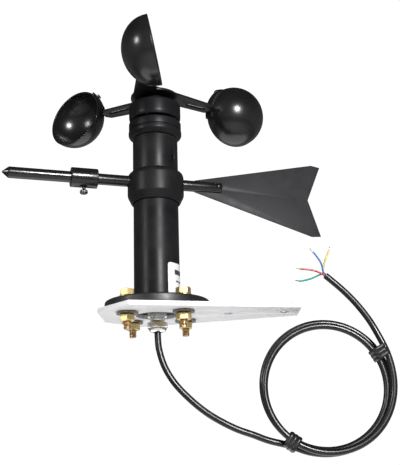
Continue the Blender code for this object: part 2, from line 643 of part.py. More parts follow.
def build_front_rod(vane):
    """The pointed rod that balances the fin, with its sliding counterweight and thumb screw."""
    front = new_axis("front_rod_axis", vane, (0, 0, ROD_HEIGHT), 180.0)
    along = Matrix.Rotation(math.radians(90), 4, "Y")
    shoulder = FRONT_ROD_REACH - ROD_POINT
    profile = [(0.0, FRONT_ROD_REACH), (ROD_RADIUS, shoulder), (ROD_RADIUS, ROD_START), (0.0, ROD_START)]
    new_part("vane_rod_front", turned("vane_rod_front", profile, 24, closed=False), BLACK_PAINT, front, along)

    slide = new_axis("counterweight_axis", front, (SLEEVE_CENTRE, 0, 0))
    bore, half, edge = ROD_RADIUS + TOUCH_GAP, SLEEVE_LENGTH / 2, SLEEVE_EDGE
    rim = ROD_RADIUS + SLEEVE_WALL
    profile = [(bore, half), (rim - edge, half), (rim, half - edge), (rim, edge - half), (rim - edge, -half),
               (bore, -half)]
    shape = turned("counterweight_sleeve", profile, 32)
    sleeve = new_part("counterweight_sleeve", shape, BLACK_PAINT, slide, along)
    drill = prism("thumb_drill", THUMB_STEM / 2 + TOUCH_GAP, -rim - 0.002, -ROD_RADIUS, SMALL_ROUND)
    add_boolean(sleeve, new_cutter("thumb_drill", drill, slide))
    stem_top = -ROD_RADIUS - TOUCH_GAP
    head_top = -rim - THUMB_NECK
    head_base = head_top - THUMB_HEAD_HEIGHT
    stem, head = THUMB_STEM / 2, THUMB_HEAD / 2
    profile = [(0.0, stem_top), (stem, stem_top), (stem, head_top), (head - edge, head_top),
               (head, head_top - edge), (head, head_base + edge), (head - edge, head_base), (0.0, head_base)]
    new_part("thumb_screw", turned("thumb_screw", profile, SMALL_ROUND, closed=False), DARK_STEEL, slide)


def build_tail(vane):
    """The slotted rear rod, the swallow-tail fin in its slot and the rivet through both."""
    rear = new_axis("rear_rod_axis", vane, (0, 0, ROD_HEIGHT))
    along = Matrix.Rotation(math.radians(90), 4, "Y")
    across = Matrix.Rotation(math.radians(90), 4, "X")
    end, edge = REAR_ROD_REACH, ROD_EDGE
    profile = [(0.0, end), (ROD_RADIUS - edge, end), (ROD_RADIUS, end - edge),
               (ROD_RADIUS, ROD_START), (0.0, ROD_START)]
    shape = turned("vane_rod_rear", profile, 24, closed=False)
    rod = new_part("vane_rod_rear", shape, BLACK_PAINT, rear, along)
    slot_length = FIN_SLOT_DEPTH + 0.002
    slot = box("fin_slot", (slot_length, FIN_THICK + 2 * TOUCH_GAP, 2 * ROD_DIAMETER),
               (REAR_ROD_REACH - FIN_SLOT_DEPTH + slot_length / 2, 0, 0))
    add_boolean(rod, new_cutter("fin_slot", slot, rear))
    rivet_place = Matrix.Translation((REAR_ROD_REACH - RIVET_FROM_END, 0, 0)) @ across
    drill = prism("rivet_drill", RIVET_DIAMETER / 2 + TOUCH_GAP, -ROD_DIAMETER, ROD_DIAMETER, SMALL_ROUND)
    rivet_drill = new_cutter("rivet_drill", drill, rear, rivet_place)
    add_boolean(rod, rivet_drill)

    front, tail = FIN_FRONT_HEIGHT / 2, FIN_TAIL_HEIGHT / 2
    upper_half = [(0.0, front), (FIN_LENGTH - FIN_CLIP, tail), (FIN_LENGTH, tail - FIN_CLIP_FALL)]
    outline = [*upper_half, (FIN_LENGTH - FIN_NOTCH, 0.0), *[(x, -y) for x, y in reversed(upper_half)]]
    droop = Matrix.Rotation(math.radians(FIN_DROOP), 4, "Y")
    fin_place = Matrix.Translation((FIN_START, 0, 0)) @ droop @ across
    fin = new_part("tail_fin", flat_sheet("tail_fin", [outline], FIN_THICK), BLACK_SHEET, rear, fin_place)
    add_boolean(fin, rivet_drill)

    head, shank = RIVET_DIAMETER, RIVET_DIAMETER / 2
    inside = ROD_RADIUS + TOUCH_GAP
    outside = inside + RIVET_HEAD_HEIGHT
    profile = [(0.0, outside), (0.7 * head, outside), (head, inside), (shank, inside), (shank, -inside),
               (head, -inside), (0.7 * head, -outside), (0.0, -outside)]
    new_part("fin_rivet", turned("fin_rivet", profile, 14, closed=False), DARK_STEEL, rear, rivet_place)


# ---------------------------------------------------------------- bearing housing and rotor
def build_housing(column):
    """The housing that carries the rotor's bearings on top of the upper tube."""
    rim, taper = HOUSING_RADIUS, HOUSING_TAPER
    spigot = UPPER_RADIUS - UPPER_WALL - TOUCH_GAP
    seat, web = BEARING_DIAMETER / 2 + TOUCH_GAP, SHAFT_DIAMETER / 2 + SHAFT_CLEARANCE
    web_base, web_top = LOWER_BEARING_BASE + BEARING_THICK + TOUCH_GAP, UPPER_BEARING_BASE - TOUCH_GAP
    profile = [(seat, COLLAR_TOP), (COLLAR_RADIUS, COLLAR_TOP), (COLLAR_RADIUS, HOUSING_TOP),
               (rim - 2 * taper, HOUSING_TOP), (rim - taper, HOUSING_TOP - taper),
               (rim, HOUSING_BASE + HOUSING_CHAMFER), (UPPER_RADIUS + taper, HOUSING_BASE),
               (spigot, HOUSING_BASE), (spigot, SPIGOT_BASE), (seat, SPIGOT_BASE),
               (seat, web_base), (web, web_base), (web, web_top), (seat, web_top)]
    new_part("bearing_housing", turned("bearing_housing", profile), BLACK_PAINT, column)
    inner, outer = SHAFT_DIAMETER / 2 + TOUCH_GAP, BEARING_DIAMETER / 2
    bases = {"rotor_bearing_lower": LOWER_BEARING_BASE, "rotor_bearing_upper": UPPER_BEARING_BASE}
    for name, base in bases.items():
        new_part(name, ring(name, inner, outer, base, base + BEARING_THICK, 32), BEARING_STEEL, column)


def build_rotor_hub(rotor):
    """The hub skirt, the shaft with its magnet, and the cap nut that clamps the arms."""
    rim, boss, shaft = HUB_RADIUS, HUB_BOSS_DIAMETER / 2, SHAFT_DIAMETER / 2
    bore = shaft + TOUCH_GAP
    cavity, ceiling = COLLAR_RADIUS + 2 * RUNNING_GAP, COLLAR_TOP + 2 * RUNNING_GAP
    profile = [(bore, HUB_BOSS_TOP), (boss, HUB_BOSS_TOP), (boss, HUB_TOP),
               *arc(rim - HUB_EDGE, HUB_TOP - HUB_EDGE, HUB_EDGE, 90, 0, 4),
               (rim, HUB_BOTTOM), (rim - HUB_EDGE, HUB_BOTTOM), (cavity, HUB_BOTTOM + HUB_EDGE),
               (cavity, ceiling), (bore, ceiling)]
    new_part("rotor_hub", turned("rotor_hub", profile), BLACK_PAINT, rotor)
    profile = [(0.0, SHAFT_TOP), (shaft, SHAFT_TOP), (shaft, SHAFT_BOTTOM), (0.0, SHAFT_BOTTOM)]
    new_part("rotor_shaft", turned("rotor_shaft", profile, 24, closed=False), BEARING_STEEL, rotor)
    magnet = prism("rotor_magnet", MAGNET_DIAMETER / 2, MAGNET_BASE, MAGNET_BASE + MAGNET_THICK, 24)
    new_part("rotor_magnet", magnet, MAGNET, rotor)

    nut_top = CAP_NUT_BASE + CAP_NUT_HEIGHT
    body = hexagon("cap_nut_body", CAP_NUT_ACROSS, CAP_NUT_BASE, nut_top)
    dome = prism("cap_nut_dome", CAP_NUT_DOME_DIAMETER / 2, nut_top - 0.001, nut_top + CAP_NUT_DOME, 24)
    drill = prism("cap_nut_drill", bore, CAP_NUT_BASE - 0.001, SHAFT_TOP + TOUCH_GAP, SMALL_ROUND)
    nut = joined("rotor_cap_nut", body, ("UNION", dome), ("DIFFERENCE", drill))
    new_part("rotor_cap_nut", nut, DARK_STEEL, rotor)


def cup_radius_at(depth):
    """Outer radius of a cup at a distance behind its rim."""
    return CUP_RADIUS * math.sqrt(max(0.0, 1.0 - (depth / CUP_DEPTH) ** 2))


def cup_matrix():
    """A cup's place on its arm: mouth along local +Z, rotor axis on the local -X side."""
    turn = Matrix.Rotation(math.radians(-CUP_TOE), 4, "Z")
    tilt = Matrix.Rotation(math.radians(CUP_TILT - 90.0), 4, "X")
    return Matrix.Translation((CUP_REACH, 0, CUP_CENTRE)) @ turn @ tilt


def cup_screw_matrix(angle):
    """A cup screw's place in its cup's frame: local +Z points out of the cup wall."""
    depth = TAB_FRONT + TAB_WIDTH / 2
    slope = math.atan2(CUP_RADIUS * depth / CUP_DEPTH ** 2, cup_radius_at(depth) / CUP_RADIUS)
    round_axis = Matrix.Rotation(math.radians(180.0 + angle), 4, "Z")
    out = Matrix.Rotation(math.radians(90.0) + slope, 4, "Y")
    return round_axis @ Matrix.Translation((cup_radius_at(depth), 0, -depth)) @ out


def cup_mesh():
    """A thin half-ellipsoid shell, drilled for its two screws."""
    inner_radius, inner_depth = CUP_RADIUS - CUP_WALL, CUP_DEPTH - CUP_WALL
    turns = [math.radians(90.0 * i / CUP_RINGS) for i in range(CUP_RINGS + 1)]
    inner = [(inner_radius * math.sin(t), -inner_depth * math.cos(t)) for t in turns]
    outer = [(CUP_RADIUS * math.cos(t), -CUP_DEPTH * math.sin(t)) for t in turns]
    inner[0], outer[-1] = (0.0, -inner_depth), (0.0, -CUP_DEPTH)
    shell = turned("cup", [*inner, *outer], CUP_SEGMENTS, closed=False)
    drill = prism("cup_drill", CUP_SCREW_DIAMETER / 2 + TOUCH_GAP, -0.004, 0.004, 12)
    holes = [("DIFFERENCE", moved(drill, cup_screw_matrix(angle))) for angle in CUP_SCREW_ANGLES]
    return joined("cup", shell, *holes)


def cup_screw_mesh():
    """A pan-head screw whose origin is on the cup's outer wall."""
    under = TAB_THICK + 2 * TOUCH_GAP
    head, shank = CUP_SCREW_HEAD / 2, CUP_SCREW_DIAMETER / 2
    top, end = under + CUP_SCREW_HEAD_HEIGHT, -CUP_WALL - CUP_SCREW_END
    profile = [(0.0, top), (0.6 * head, top), (head, under + 0.4 * CUP_SCREW_HEAD_HEIGHT), (head, under),
               (shank, under), (shank, end), (0.0, end)]
    return turned("cup_screw", profile, 14, closed=False)


def tab_mesh():
    """The upright tab at an arm's end: a curved strip that follows the cup's wall."""
    depths = [TAB_FRONT + TAB_WIDTH * i / 3 for i in range(4)]
    inside = [(cup_radius_at(d) + TOUCH_GAP, -d) for d in depths]
    outside = [(radius + TAB_THICK, height) for radius, height in inside]
    shape = bmesh.new()
    corners = [shape.verts.new((r, 0.0, z)) for r, z in [*outside, *reversed(inside)]]
    section = shape.faces.new(corners)
    first = Matrix.Rotation(math.radians(180.0 - TAB_BELOW), 4, "Z")
    bmesh.ops.transform(shape, matrix=first, verts=corners)
    sweep = math.radians(TAB_BELOW + TAB_ABOVE)
    bmesh.ops.spin(shape, geom=[*corners, *section.edges, section], cent=(0, 0, 0), axis=(0, 0, 1),
                   angle=sweep, steps=10, use_duplicate=False)
    bmesh.ops.recalc_face_normals(shape, faces=shape.faces)
    mesh = bpy.data.meshes.new("tab")
    shape.to_mesh(mesh)
    shape.free()
    return mesh


def arm_mesh():
    """One flat arm with its slot, lying along +X with its leading edge on the +Y side."""
    lead, root, tip = ARM_LEADING, ARM_TRAILING_ROOT, ARM_TRAILING_TIP
    outline = [(0.0, lead), (0.0, -root), (ARM_REACH - 0.0030, -tip), (ARM_REACH + 0.0004, -tip + 0.0040),
               (ARM_REACH, -0.0040), (ARM_REACH - 0.0008, -0.0010), (ARM_REACH - 0.0034, lead)]
    half = ARM_SLOT_WIDTH / 2
    start, end = ARM_SLOT_START + half, ARM_SLOT_END - half
    ends = ((start, 90.0), (end, -90.0))
    slot = []
    for centre, first in ends:
        slot += arc(centre, -ARM_SLOT_OFFSET, half, first, first + 180.0, 7)
    return flat_sheet("arm", [outline, slot], SPIDER_THICK)


def build_spider(rotor):
    """The three-arm plate: a disc with three slotted arms that each end in an upright tab."""
    middle = (SPIDER_HEIGHT + SPIDER_TOP) / 2
    disc = prism("spider_disc", SPIDER_DISC / 2, SPIDER_HEIGHT, SPIDER_TOP, ROUND)
    lift = Matrix.Translation((0, 0, middle))
    drill = prism("screw_drill", CUP_SCREW_DIAMETER / 2 + TOUCH_GAP, -0.004, 0.006, 12)
    steps = []
    for index in range(CUP_COUNT):
        turn = Matrix.Rotation(math.radians(index * ARM_PITCH), 4, "Z")
        steps.append(("UNION", moved(arm_mesh(), turn @ lift)))
        steps.append(("UNION", moved(tab_mesh(), turn @ cup_matrix())))
        for angle in CUP_SCREW_ANGLES:
            steps.append(("DIFFERENCE", moved(drill, turn @ cup_matrix() @ cup_screw_matrix(angle))))
    bore = SHAFT_DIAMETER / 2 + TOUCH_GAP
    steps.append(("DIFFERENCE", prism("shaft_drill", bore, SPIDER_HEIGHT - 0.001, SPIDER_TOP + 0.001, 24)))
    new_part("rotor_spider", joined("rotor_spider", disc, *steps), BLACK_PAINT, rotor)


def build_cups(rotor):
    """Three cups, each with the two screws that hold it to its tab."""
    shell, screw = cup_mesh(), cup_screw_mesh()
    for index in range(CUP_COUNT):
        place = Matrix.Rotation(math.radians(index * ARM_PITCH), 4, "Z") @ cup_matrix()
        new_part(f"cup_{index + 1}", shell, BLACK_PLASTIC, rotor, place)
        for side, angle in enumerate(CUP_SCREW_ANGLES):
            name = f"cup_screw_{2 * index + side + 1}"
            new_part(name, screw, DARK_STEEL, rotor, place @ cup_screw_matrix(angle))


# ---------------------------------------------------------------- gland and cable
def build_gland(column):
    """The cable gland: a body screwed up into the flange, a domed nut and a rubber seal between."""
    thread, bore = GLAND_THREAD / 2, CABLE_BORE
    nut_bore = thread - GLAND_THREAD_STEP
    stem = nut_bore - TOUCH_GAP
    seal_base = GLAND_NUT_BASE + GLAND_LIP + TOUCH_GAP
    seal_top = seal_base + SEAL_THICK
    stem_base = seal_top + TOUCH_GAP
    profile = [(bore, GLAND_THREAD_TOP), (thread, GLAND_THREAD_TOP), (thread, GLAND_HEX_BASE),
               (stem, GLAND_HEX_BASE - TOUCH_GAP), (stem, stem_base), (bore, stem_base)]
    hexes = hexagon("gland_hex", GLAND_HEX_ACROSS, GLAND_HEX_BASE, GLAND_HEX_TOP)
    bore_tool = prism("gland_bore", bore, GLAND_HEX_BASE - 0.01, GLAND_HEX_TOP + 0.01, 24)
    collar = joined("gland_collar", hexes, ("DIFFERENCE", bore_tool))
    body = joined("gland_body", turned("gland_body", profile, 32), ("UNION", collar))
    new_part("gland_body", body, NICKEL, column)

    corner, above = GLAND_NUT_ACROSS / math.sqrt(3) + 0.0001, GLAND_NUT_TOP + 0.001
    dome_top = GLAND_NUT_BASE + GLAND_DOME
    mouth = bore + 2 * GLAND_LIP
    rounding = [(mouth + (corner - mouth) * math.cos(turn), dome_top - GLAND_DOME * math.sin(turn))
                for turn in [math.radians(22.5 * i) for i in range(5)]]
    outer = [(0.0, above), (corner, above), *rounding, (0.0, GLAND_NUT_BASE)]
    shape = turned("gland_nut_dome", outer, 32, closed=False)
    cavity = prism("gland_cavity", nut_bore, GLAND_NUT_BASE + GLAND_LIP, GLAND_NUT_TOP + 0.002, 32)
    through = prism("gland_through", bore, GLAND_NUT_BASE - 0.002, GLAND_NUT_TOP, 24)
    nut = joined("gland_nut", hexagon("gland_nut_hex", GLAND_NUT_ACROSS, GLAND_NUT_BASE, GLAND_NUT_TOP),
                 ("INTERSECT", shape), ("DIFFERENCE", cavity), ("DIFFERENCE", through))
    new_part("gland_nut", nut, NICKEL, column)
    new_part("gland_seal", ring("gland_seal", bore, stem, seal_base, seal_top, 24), RUBBER, column)


def build_cable(column):
    """The cable: its lead, the coil's outer shape, the tail, two ties and four stripped wires."""
    radius = CABLE_DIAMETER / 2
    spacing = 2.5 * CABLE_DIAMETER
    lead = smooth_route([(x, 0.0, z) for x, z in LEAD_ROUTE], spacing)
    new_part("cable_lead", tube("cable_lead", lead, radius, 2), CABLE_JACKET, column)
    tail = smooth_route([(x, 0.0, z) for x, z in TAIL_ROUTE], spacing)
    new_part("cable_tail", tube("cable_tail", tail, radius, 2), CABLE_JACKET, column)

    coil_axis = new_axis("coil_axis", column, (COIL_CENTRE[0], 0, COIL_CENTRE[1]))
    upright = Matrix.Rotation(math.radians(90), 4, "X")
    half, edge = COIL_HALF_THICK, COIL_EDGE
    outer_side = [(COIL_OUTER - edge, half), (COIL_OUTER, half - edge), (COIL_OUTER, edge - half),
                  (COIL_OUTER - edge, -half)]
    inner_side = [(COIL_INNER + COIL_OUTER - radius, height) for radius, height in reversed(outer_side)]
    profile = [*outer_side, *inner_side]
    new_part("cable_coil", turned("cable_coil", profile), CABLE_JACKET, coil_axis, upright)

    middle = (COIL_INNER + COIL_OUTER) / 2
    inside = (COIL_OUTER - COIL_INNER + 2 * TIE_GAP, 2 * COIL_HALF_THICK + 2 * TIE_GAP)
    outside = (inside[0] + 2 * TIE_WALL, inside[1] + 2 * TIE_WALL)
    corners = ((-1, -1), (1, -1), (1, 1), (-1, 1))
    loops = [[(sx * w / 2, sy * h / 2) for sx, sy in corners] for w, h in (outside, inside)]
    for index, angle in enumerate(TIE_ANGLES):
        place = Matrix.Rotation(math.radians(-angle), 4, "Y") @ Matrix.Translation((middle, 0, 0))
        tie = flat_sheet("cable_tie", loops, TIE_LENGTH)
        new_part(f"cable_tie_{index + 1}", tie, CABLE_JACKET, coil_axis, place)

    colours = {"wire_blue": BLUE_WIRE, "wire_yellow": YELLOW_WIRE,
               "wire_red": RED_WIRE, "wire_green": GREEN_WIRE}
    ahead = (tail[-1] - tail[-2]).normalized()
    sideways = Vector((ahead.z, 0.0, -ahead.x))
    for name, ((side, depth), fan) in WIRE_ROUTES.items():
        start = tail[-1] + WIRE_SPREAD * Vector((side * sideways.x, depth, side * sideways.z))
        straight = [start + ahead * TOUCH_GAP, start + ahead * 2 * WIRE_DIAMETER]
        route = smooth_route([*straight, *fan], 2.5 * WIRE_DIAMETER)
        new_part(name, tube(name, route, WIRE_DIAMETER / 2, 2), colours[name], column)


# ---------------------------------------------------------------- assembly
clear_scene()
PARTS = new_collection("cup_anemometer")
CUTTERS = new_collection("cutters")

BLACK_PAINT = new_material("black_paint", (0.018, 0.018, 0.020), 0.38)
BLACK_PLASTIC = new_material("black_plastic", (0.014, 0.014, 0.016), 0.22)
BLACK_SHEET = new_material("black_sheet", (0.035, 0.035, 0.037), 0.55)
WHITE_PAINT = new_material("white_paint", (0.78, 0.78, 0.79), 0.40)
YELLOW_ZINC = new_material("yellow_zinc", (0.72, 0.56, 0.26), 0.30, 1.0)
NICKEL = new_material("nickel", (0.74, 0.72, 0.68), 0.18, 1.0)
DARK_STEEL = new_material("dark_steel", (0.10, 0.10, 0.11), 0.40, 1.0)
BEARING_STEEL = new_material("bearing_steel", (0.62, 0.62, 0.64), 0.25, 1.0)
MAGNET = new_material("magnet", (0.20, 0.20, 0.21), 0.45, 1.0)
RUBBER = new_material("rubber", (0.02, 0.02, 0.02), 0.80)
CABLE_JACKET = new_material("cable_jacket", (0.02, 0.02, 0.022), 0.45)
GREEN_BOARD = new_material("green_board", (0.02, 0.18, 0.07), 0.40)
BLUE_WIRE = new_material("blue_wire", (0.05, 0.30, 0.75), 0.40)
YELLOW_WIRE = new_material("yellow_wire", (0.90, 0.75, 0.08), 0.40)
RED_WIRE = new_material("red_wire", (0.80, 0.06, 0.04), 0.40)
GREEN_WIRE = new_material("green_wire", (0.05, 0.55, 0.42), 0.40)

COLUMN_AXIS = new_axis("column_axis", location=(-MAST_ARM, 0, PLATE_THICK))
VANE_AXIS = new_axis("vane_axis", COLUMN_AXIS, turn=VANE_AZIMUTH)
ROTOR_AXIS = new_axis("rotor_axis", COLUMN_AXIS, turn=ARM_AZIMUTH)

build_bracket(COLUMN_AXIS)
build_flange(COLUMN_AXIS)
build_fasteners(COLUMN_AXIS)
build_column(COLUMN_AXIS)
build_board(COLUMN_AXIS)
build_vane_hub(VANE_AXIS)
build_front_rod(VANE_AXIS)
build_tail(VANE_AXIS)
build_housing(COLUMN_AXIS)
build_rotor_hub(ROTOR_AXIS)
build_spider(ROTOR_AXIS)
build_cups(ROTOR_AXIS)
build_gland(COLUMN_AXIS)
build_cable(COLUMN_AXIS)
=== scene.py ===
"""Dresses the cup anemometer: fine meshes, finishes, cable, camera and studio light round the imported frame.

Every size is in metres. Heights and places are read from the frame's own boxes, and shapes that the frame
keeps plain, such as threads, knurls and the cable's turns, are made here.
"""
from __future__ import annotations

import json
import logging
import math
from collections.abc import Callable, Sequence
from dataclasses import dataclass, field
from enum import Enum

import bmesh
import bpy
from mathutils import Matrix, Vector

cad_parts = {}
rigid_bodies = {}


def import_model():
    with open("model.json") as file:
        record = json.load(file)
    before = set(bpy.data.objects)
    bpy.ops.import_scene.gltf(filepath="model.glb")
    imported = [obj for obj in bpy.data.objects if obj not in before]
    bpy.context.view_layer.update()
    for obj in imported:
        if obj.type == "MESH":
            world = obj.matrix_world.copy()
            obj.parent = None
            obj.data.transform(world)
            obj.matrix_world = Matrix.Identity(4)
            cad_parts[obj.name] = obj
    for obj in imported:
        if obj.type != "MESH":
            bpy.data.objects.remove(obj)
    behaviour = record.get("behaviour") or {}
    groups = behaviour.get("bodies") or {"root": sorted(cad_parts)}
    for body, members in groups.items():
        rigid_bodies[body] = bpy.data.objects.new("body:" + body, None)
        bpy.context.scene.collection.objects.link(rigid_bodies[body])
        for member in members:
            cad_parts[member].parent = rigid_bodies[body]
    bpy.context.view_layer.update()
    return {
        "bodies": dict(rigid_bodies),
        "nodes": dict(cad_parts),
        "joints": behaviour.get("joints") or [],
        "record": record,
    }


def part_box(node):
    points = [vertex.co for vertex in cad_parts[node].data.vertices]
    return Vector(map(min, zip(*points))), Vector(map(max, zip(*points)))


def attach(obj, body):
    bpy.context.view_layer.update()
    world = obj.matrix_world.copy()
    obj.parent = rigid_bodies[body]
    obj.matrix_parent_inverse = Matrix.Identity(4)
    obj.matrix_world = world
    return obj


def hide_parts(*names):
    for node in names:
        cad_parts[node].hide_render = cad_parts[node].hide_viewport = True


LOG = logging.getLogger("anemometer")
Section = list[tuple[float, float]]

GAP = 0.0003  # the clearance between pieces that touch
MIX_FIRST, MIX_SECOND, MIX_RESULT = 6, 7, 2  # a colour mix's sockets


class Body(str, Enum):
    """The rigid bodies that pieces ride on."""

    COLUMN = "column"
    ROTOR = "rotor"
    VANE = "vane"
    COUNTERWEIGHT = "counterweight"
    THUMB_SCREW = "thumb_screw"


# ---------------------------------------------------------------- shader groups and finishes
class ShaderGroups:
    """The effects that several finishes share, each built once."""

    def __init__(self) -> None:
        """Build the three groups."""
        self.grain = self._grain()
        self.blotches = self._blotches()
        self.edges = self._edges()

    @staticmethod
    def _new(name: str, inputs: Sequence[tuple[str, float]], outputs: Sequence[tuple[str, str]]) -> tuple:
        """Make an empty group.

        Args:
            name: the group's name.
            inputs: names and defaults of its float inputs.
            outputs: names and socket types of its outputs.

        Returns:
            The tree, its input node and its output node.
        """
        tree = bpy.data.node_groups.new(name, "ShaderNodeTree")
        for label, default in inputs:
            socket = tree.interface.new_socket(label, in_out="INPUT", socket_type="NodeSocketFloat")
            socket.default_value = default
        for label, kind in outputs:
            tree.interface.new_socket(label, in_out="OUTPUT", socket_type=kind)
        return tree, tree.nodes.new("NodeGroupInput"), tree.nodes.new("NodeGroupOutput")

    @staticmethod
    def _noise(tree: bpy.types.NodeTree, scale: bpy.types.NodeSocket, detail: float) -> bpy.types.NodeSocket:
        """Add a noise on object coordinates.

        Args:
            tree: the group.
            scale: the socket that sets the noise's scale.
            detail: the noise's detail.

        Returns:
            The noise's factor socket.
        """
        place = tree.nodes.new("ShaderNodeTexCoord")
        noise = tree.nodes.new("ShaderNodeTexNoise")
        noise.inputs["Detail"].default_value = detail
        tree.links.new(place.outputs["Object"], noise.inputs["Vector"])
        tree.links.new(scale, noise.inputs["Scale"])
        return noise.outputs["Fac"]

    def _grain(self) -> bpy.types.NodeTree:
        """Return the fine bump of a coating or moulding: its normal and its height."""
        tree, entry, leave = self._new("fine_grain", [("Scale", 1500.0), ("Depth", 0.0001)],
                                       [("Normal", "NodeSocketVector"), ("Height", "NodeSocketFloat")])
        height = self._noise(tree, entry.outputs["Scale"], 3.0)
        bump = tree.nodes.new("ShaderNodeBump")
        tree.links.new(entry.outputs["Depth"], bump.inputs["Distance"])
        tree.links.new(height, bump.inputs["Height"])
        tree.links.new(bump.outputs["Normal"], leave.inputs["Normal"])
        tree.links.new(height, leave.inputs["Height"])
        return tree

    def _blotches(self) -> bpy.types.NodeTree:
        """Return broad uneven patches as a mask, and as a value between two limits."""
        tree, entry, leave = self._new("blotches", [("Scale", 60.0), ("Low", 0.3), ("High", 0.5)],
                                       [("Mask", "NodeSocketFloat"), ("Value", "NodeSocketFloat")])
        factor = self._noise(tree, entry.outputs["Scale"], 5.0)
        mask = tree.nodes.new("ShaderNodeMapRange")
        mask.inputs["From Min"].default_value, mask.inputs["From Max"].default_value = 0.38, 0.64
        value = tree.nodes.new("ShaderNodeMapRange")
        tree.links.new(factor, mask.inputs["Value"])
        tree.links.new(mask.outputs["Result"], value.inputs["Value"])
        tree.links.new(entry.outputs["Low"], value.inputs["To Min"])
        tree.links.new(entry.outputs["High"], value.inputs["To Max"])
        tree.links.new(mask.outputs["Result"], leave.inputs["Mask"])
        tree.links.new(value.outputs["Result"], leave.inputs["Value"])
        return tree

    def _edges(self) -> bpy.types.NodeTree:
        """Return a mask of rubbed edges, broken up by noise."""
        tree, entry, leave = self._new("edge_wear", [("Radius", 0.0004), ("Scale", 900.0), ("Amount", 4.0)],
                                       [("Mask", "NodeSocketFloat")])
        rounded_edge = tree.nodes.new("ShaderNodeBevel")
        rounded_edge.samples = 4
        plain = tree.nodes.new("ShaderNodeNewGeometry")
        match = tree.nodes.new("ShaderNodeVectorMath")
        match.operation = "DOT_PRODUCT"
        away = tree.nodes.new("ShaderNodeMath")
        away.operation, away.inputs[0].default_value = "SUBTRACT", 1.0
        patchy = tree.nodes.new("ShaderNodeMath")
        patchy.operation = "MULTIPLY"
        strong = tree.nodes.new("ShaderNodeMath")
        strong.operation, strong.use_clamp = "MULTIPLY", True
        tree.links.new(entry.outputs["Radius"], rounded_edge.inputs["Radius"])
        tree.links.new(rounded_edge.outputs["Normal"], match.inputs[0])
        tree.links.new(plain.outputs["Normal"], match.inputs[1])
        tree.links.new(match.outputs["Value"], away.inputs[1])
        tree.links.new(away.outputs["Value"], patchy.inputs[0])
        tree.links.new(self._noise(tree, entry.outputs["Scale"], 2.0), patchy.inputs[1])
        tree.links.new(patchy.outputs["Value"], strong.inputs[0])
        tree.links.new(entry.outputs["Amount"], strong.inputs[1])
        tree.links.new(strong.outputs["Value"], leave.inputs["Mask"])
        return tree


@dataclass(frozen=True)
class Finish:
    """A finish: two close tones in patches, a fine grain, and edges rubbed to a third tone.

    Attributes:
        name: the material's name.
        slot: the record's material slot; not used.
        tone: the main colour.
        patch: the colour of the patches.
        rough: the lowest and highest roughness.
        metallic: 1 for bare metal.
        coat: weight of a clear coat.
        patch_scale: scale of the patches.
        grain_scale: scale of the grain.
        grain_depth: depth of the grain.
        worn: the colour of the rubbed edges, or None.
        wear: strength of the rubbing.
        specular: strength of the plain reflection.
    """

    name: str
    slot: str
    tone: tuple[float, float, float]
    patch: tuple[float, float, float]
    rough: tuple[float, float]
    metallic: float = 0.0
    coat: float = 0.0
    patch_scale: float = 70.0
    grain_scale: float = 1500.0
    grain_depth: float = 0.00004
    worn: tuple[float, float, float] | None = None
    wear: float = 3.0
    specular: float = 0.5

    def material(self, groups: ShaderGroups) -> bpy.types.Material:
        """Build the material once.

        Args:
            groups: the shared shader groups.

        Returns:
            The material.
        """
        made = bpy.data.materials.get(self.name)
        if made is not None:
            return made
        made = bpy.data.materials.new(self.name)
        made.use_nodes = True
        nodes, links = made.node_tree.nodes, made.node_tree.links
        shader = nodes["Principled BSDF"]
        shader.inputs["Metallic"].default_value = self.metallic
        shader.inputs["Coat Weight"].default_value = self.coat
        shader.inputs["Coat Roughness"].default_value = 0.12
        shader.inputs["Specular IOR Level"].default_value = self.specular
        grain = self._group(nodes, groups.grain, Scale=self.grain_scale, Depth=self.grain_depth)
        patches = self._group(nodes, groups.blotches, Scale=self.patch_scale, Low=self.rough[0],
                              High=self.rough[1])
        colour = self.mix(nodes, self.tone, self.patch)
        links.new(patches.outputs["Mask"], colour.inputs["Factor"])
        result = colour.outputs[MIX_RESULT]
        if self.worn is not None:
            wear = self._group(nodes, groups.edges, Radius=0.0004, Scale=900.0, Amount=self.wear)
            rubbed = self.mix(nodes, self.tone, self.worn)
            links.new(wear.outputs["Mask"], rubbed.inputs["Factor"])
            links.new(result, rubbed.inputs[MIX_FIRST])
            result = rubbed.outputs[MIX_RESULT]
        links.new(result, shader.inputs["Base Color"])
        links.new(patches.outputs["Value"], shader.inputs["Roughness"])
        links.new(grain.outputs["Normal"], shader.inputs["Normal"])
        return made

    @staticmethod
    def _group(nodes: bpy.types.Nodes, tree: bpy.types.NodeTree, **values: float) -> bpy.types.Node:
        """Place a shared group with its own values.

        Args:
            nodes: the material's nodes.
            tree: the group.
            values: the group's inputs by name.

        Returns:
            The group's node.
        """
        node = nodes.new("ShaderNodeGroup")
        node.node_tree = tree
        for label, value in values.items():
            node.inputs[label].default_value = value
        return node

    @staticmethod
    def mix(nodes: bpy.types.Nodes, first: Sequence[float], second: Sequence[float]) -> bpy.types.Node:
        """Place a colour mix of two tones.

        Args:
            nodes: the material's nodes.
            first: the tone at factor 0.
            second: the tone at factor 1.

        Returns:
            The mix node.
        """
        node = nodes.new("ShaderNodeMix")
        node.data_type = "RGBA"
        node.inputs[MIX_FIRST].default_value = (*first, 1.0)
        node.inputs[MIX_SECOND].default_value = (*second, 1.0)
        return node


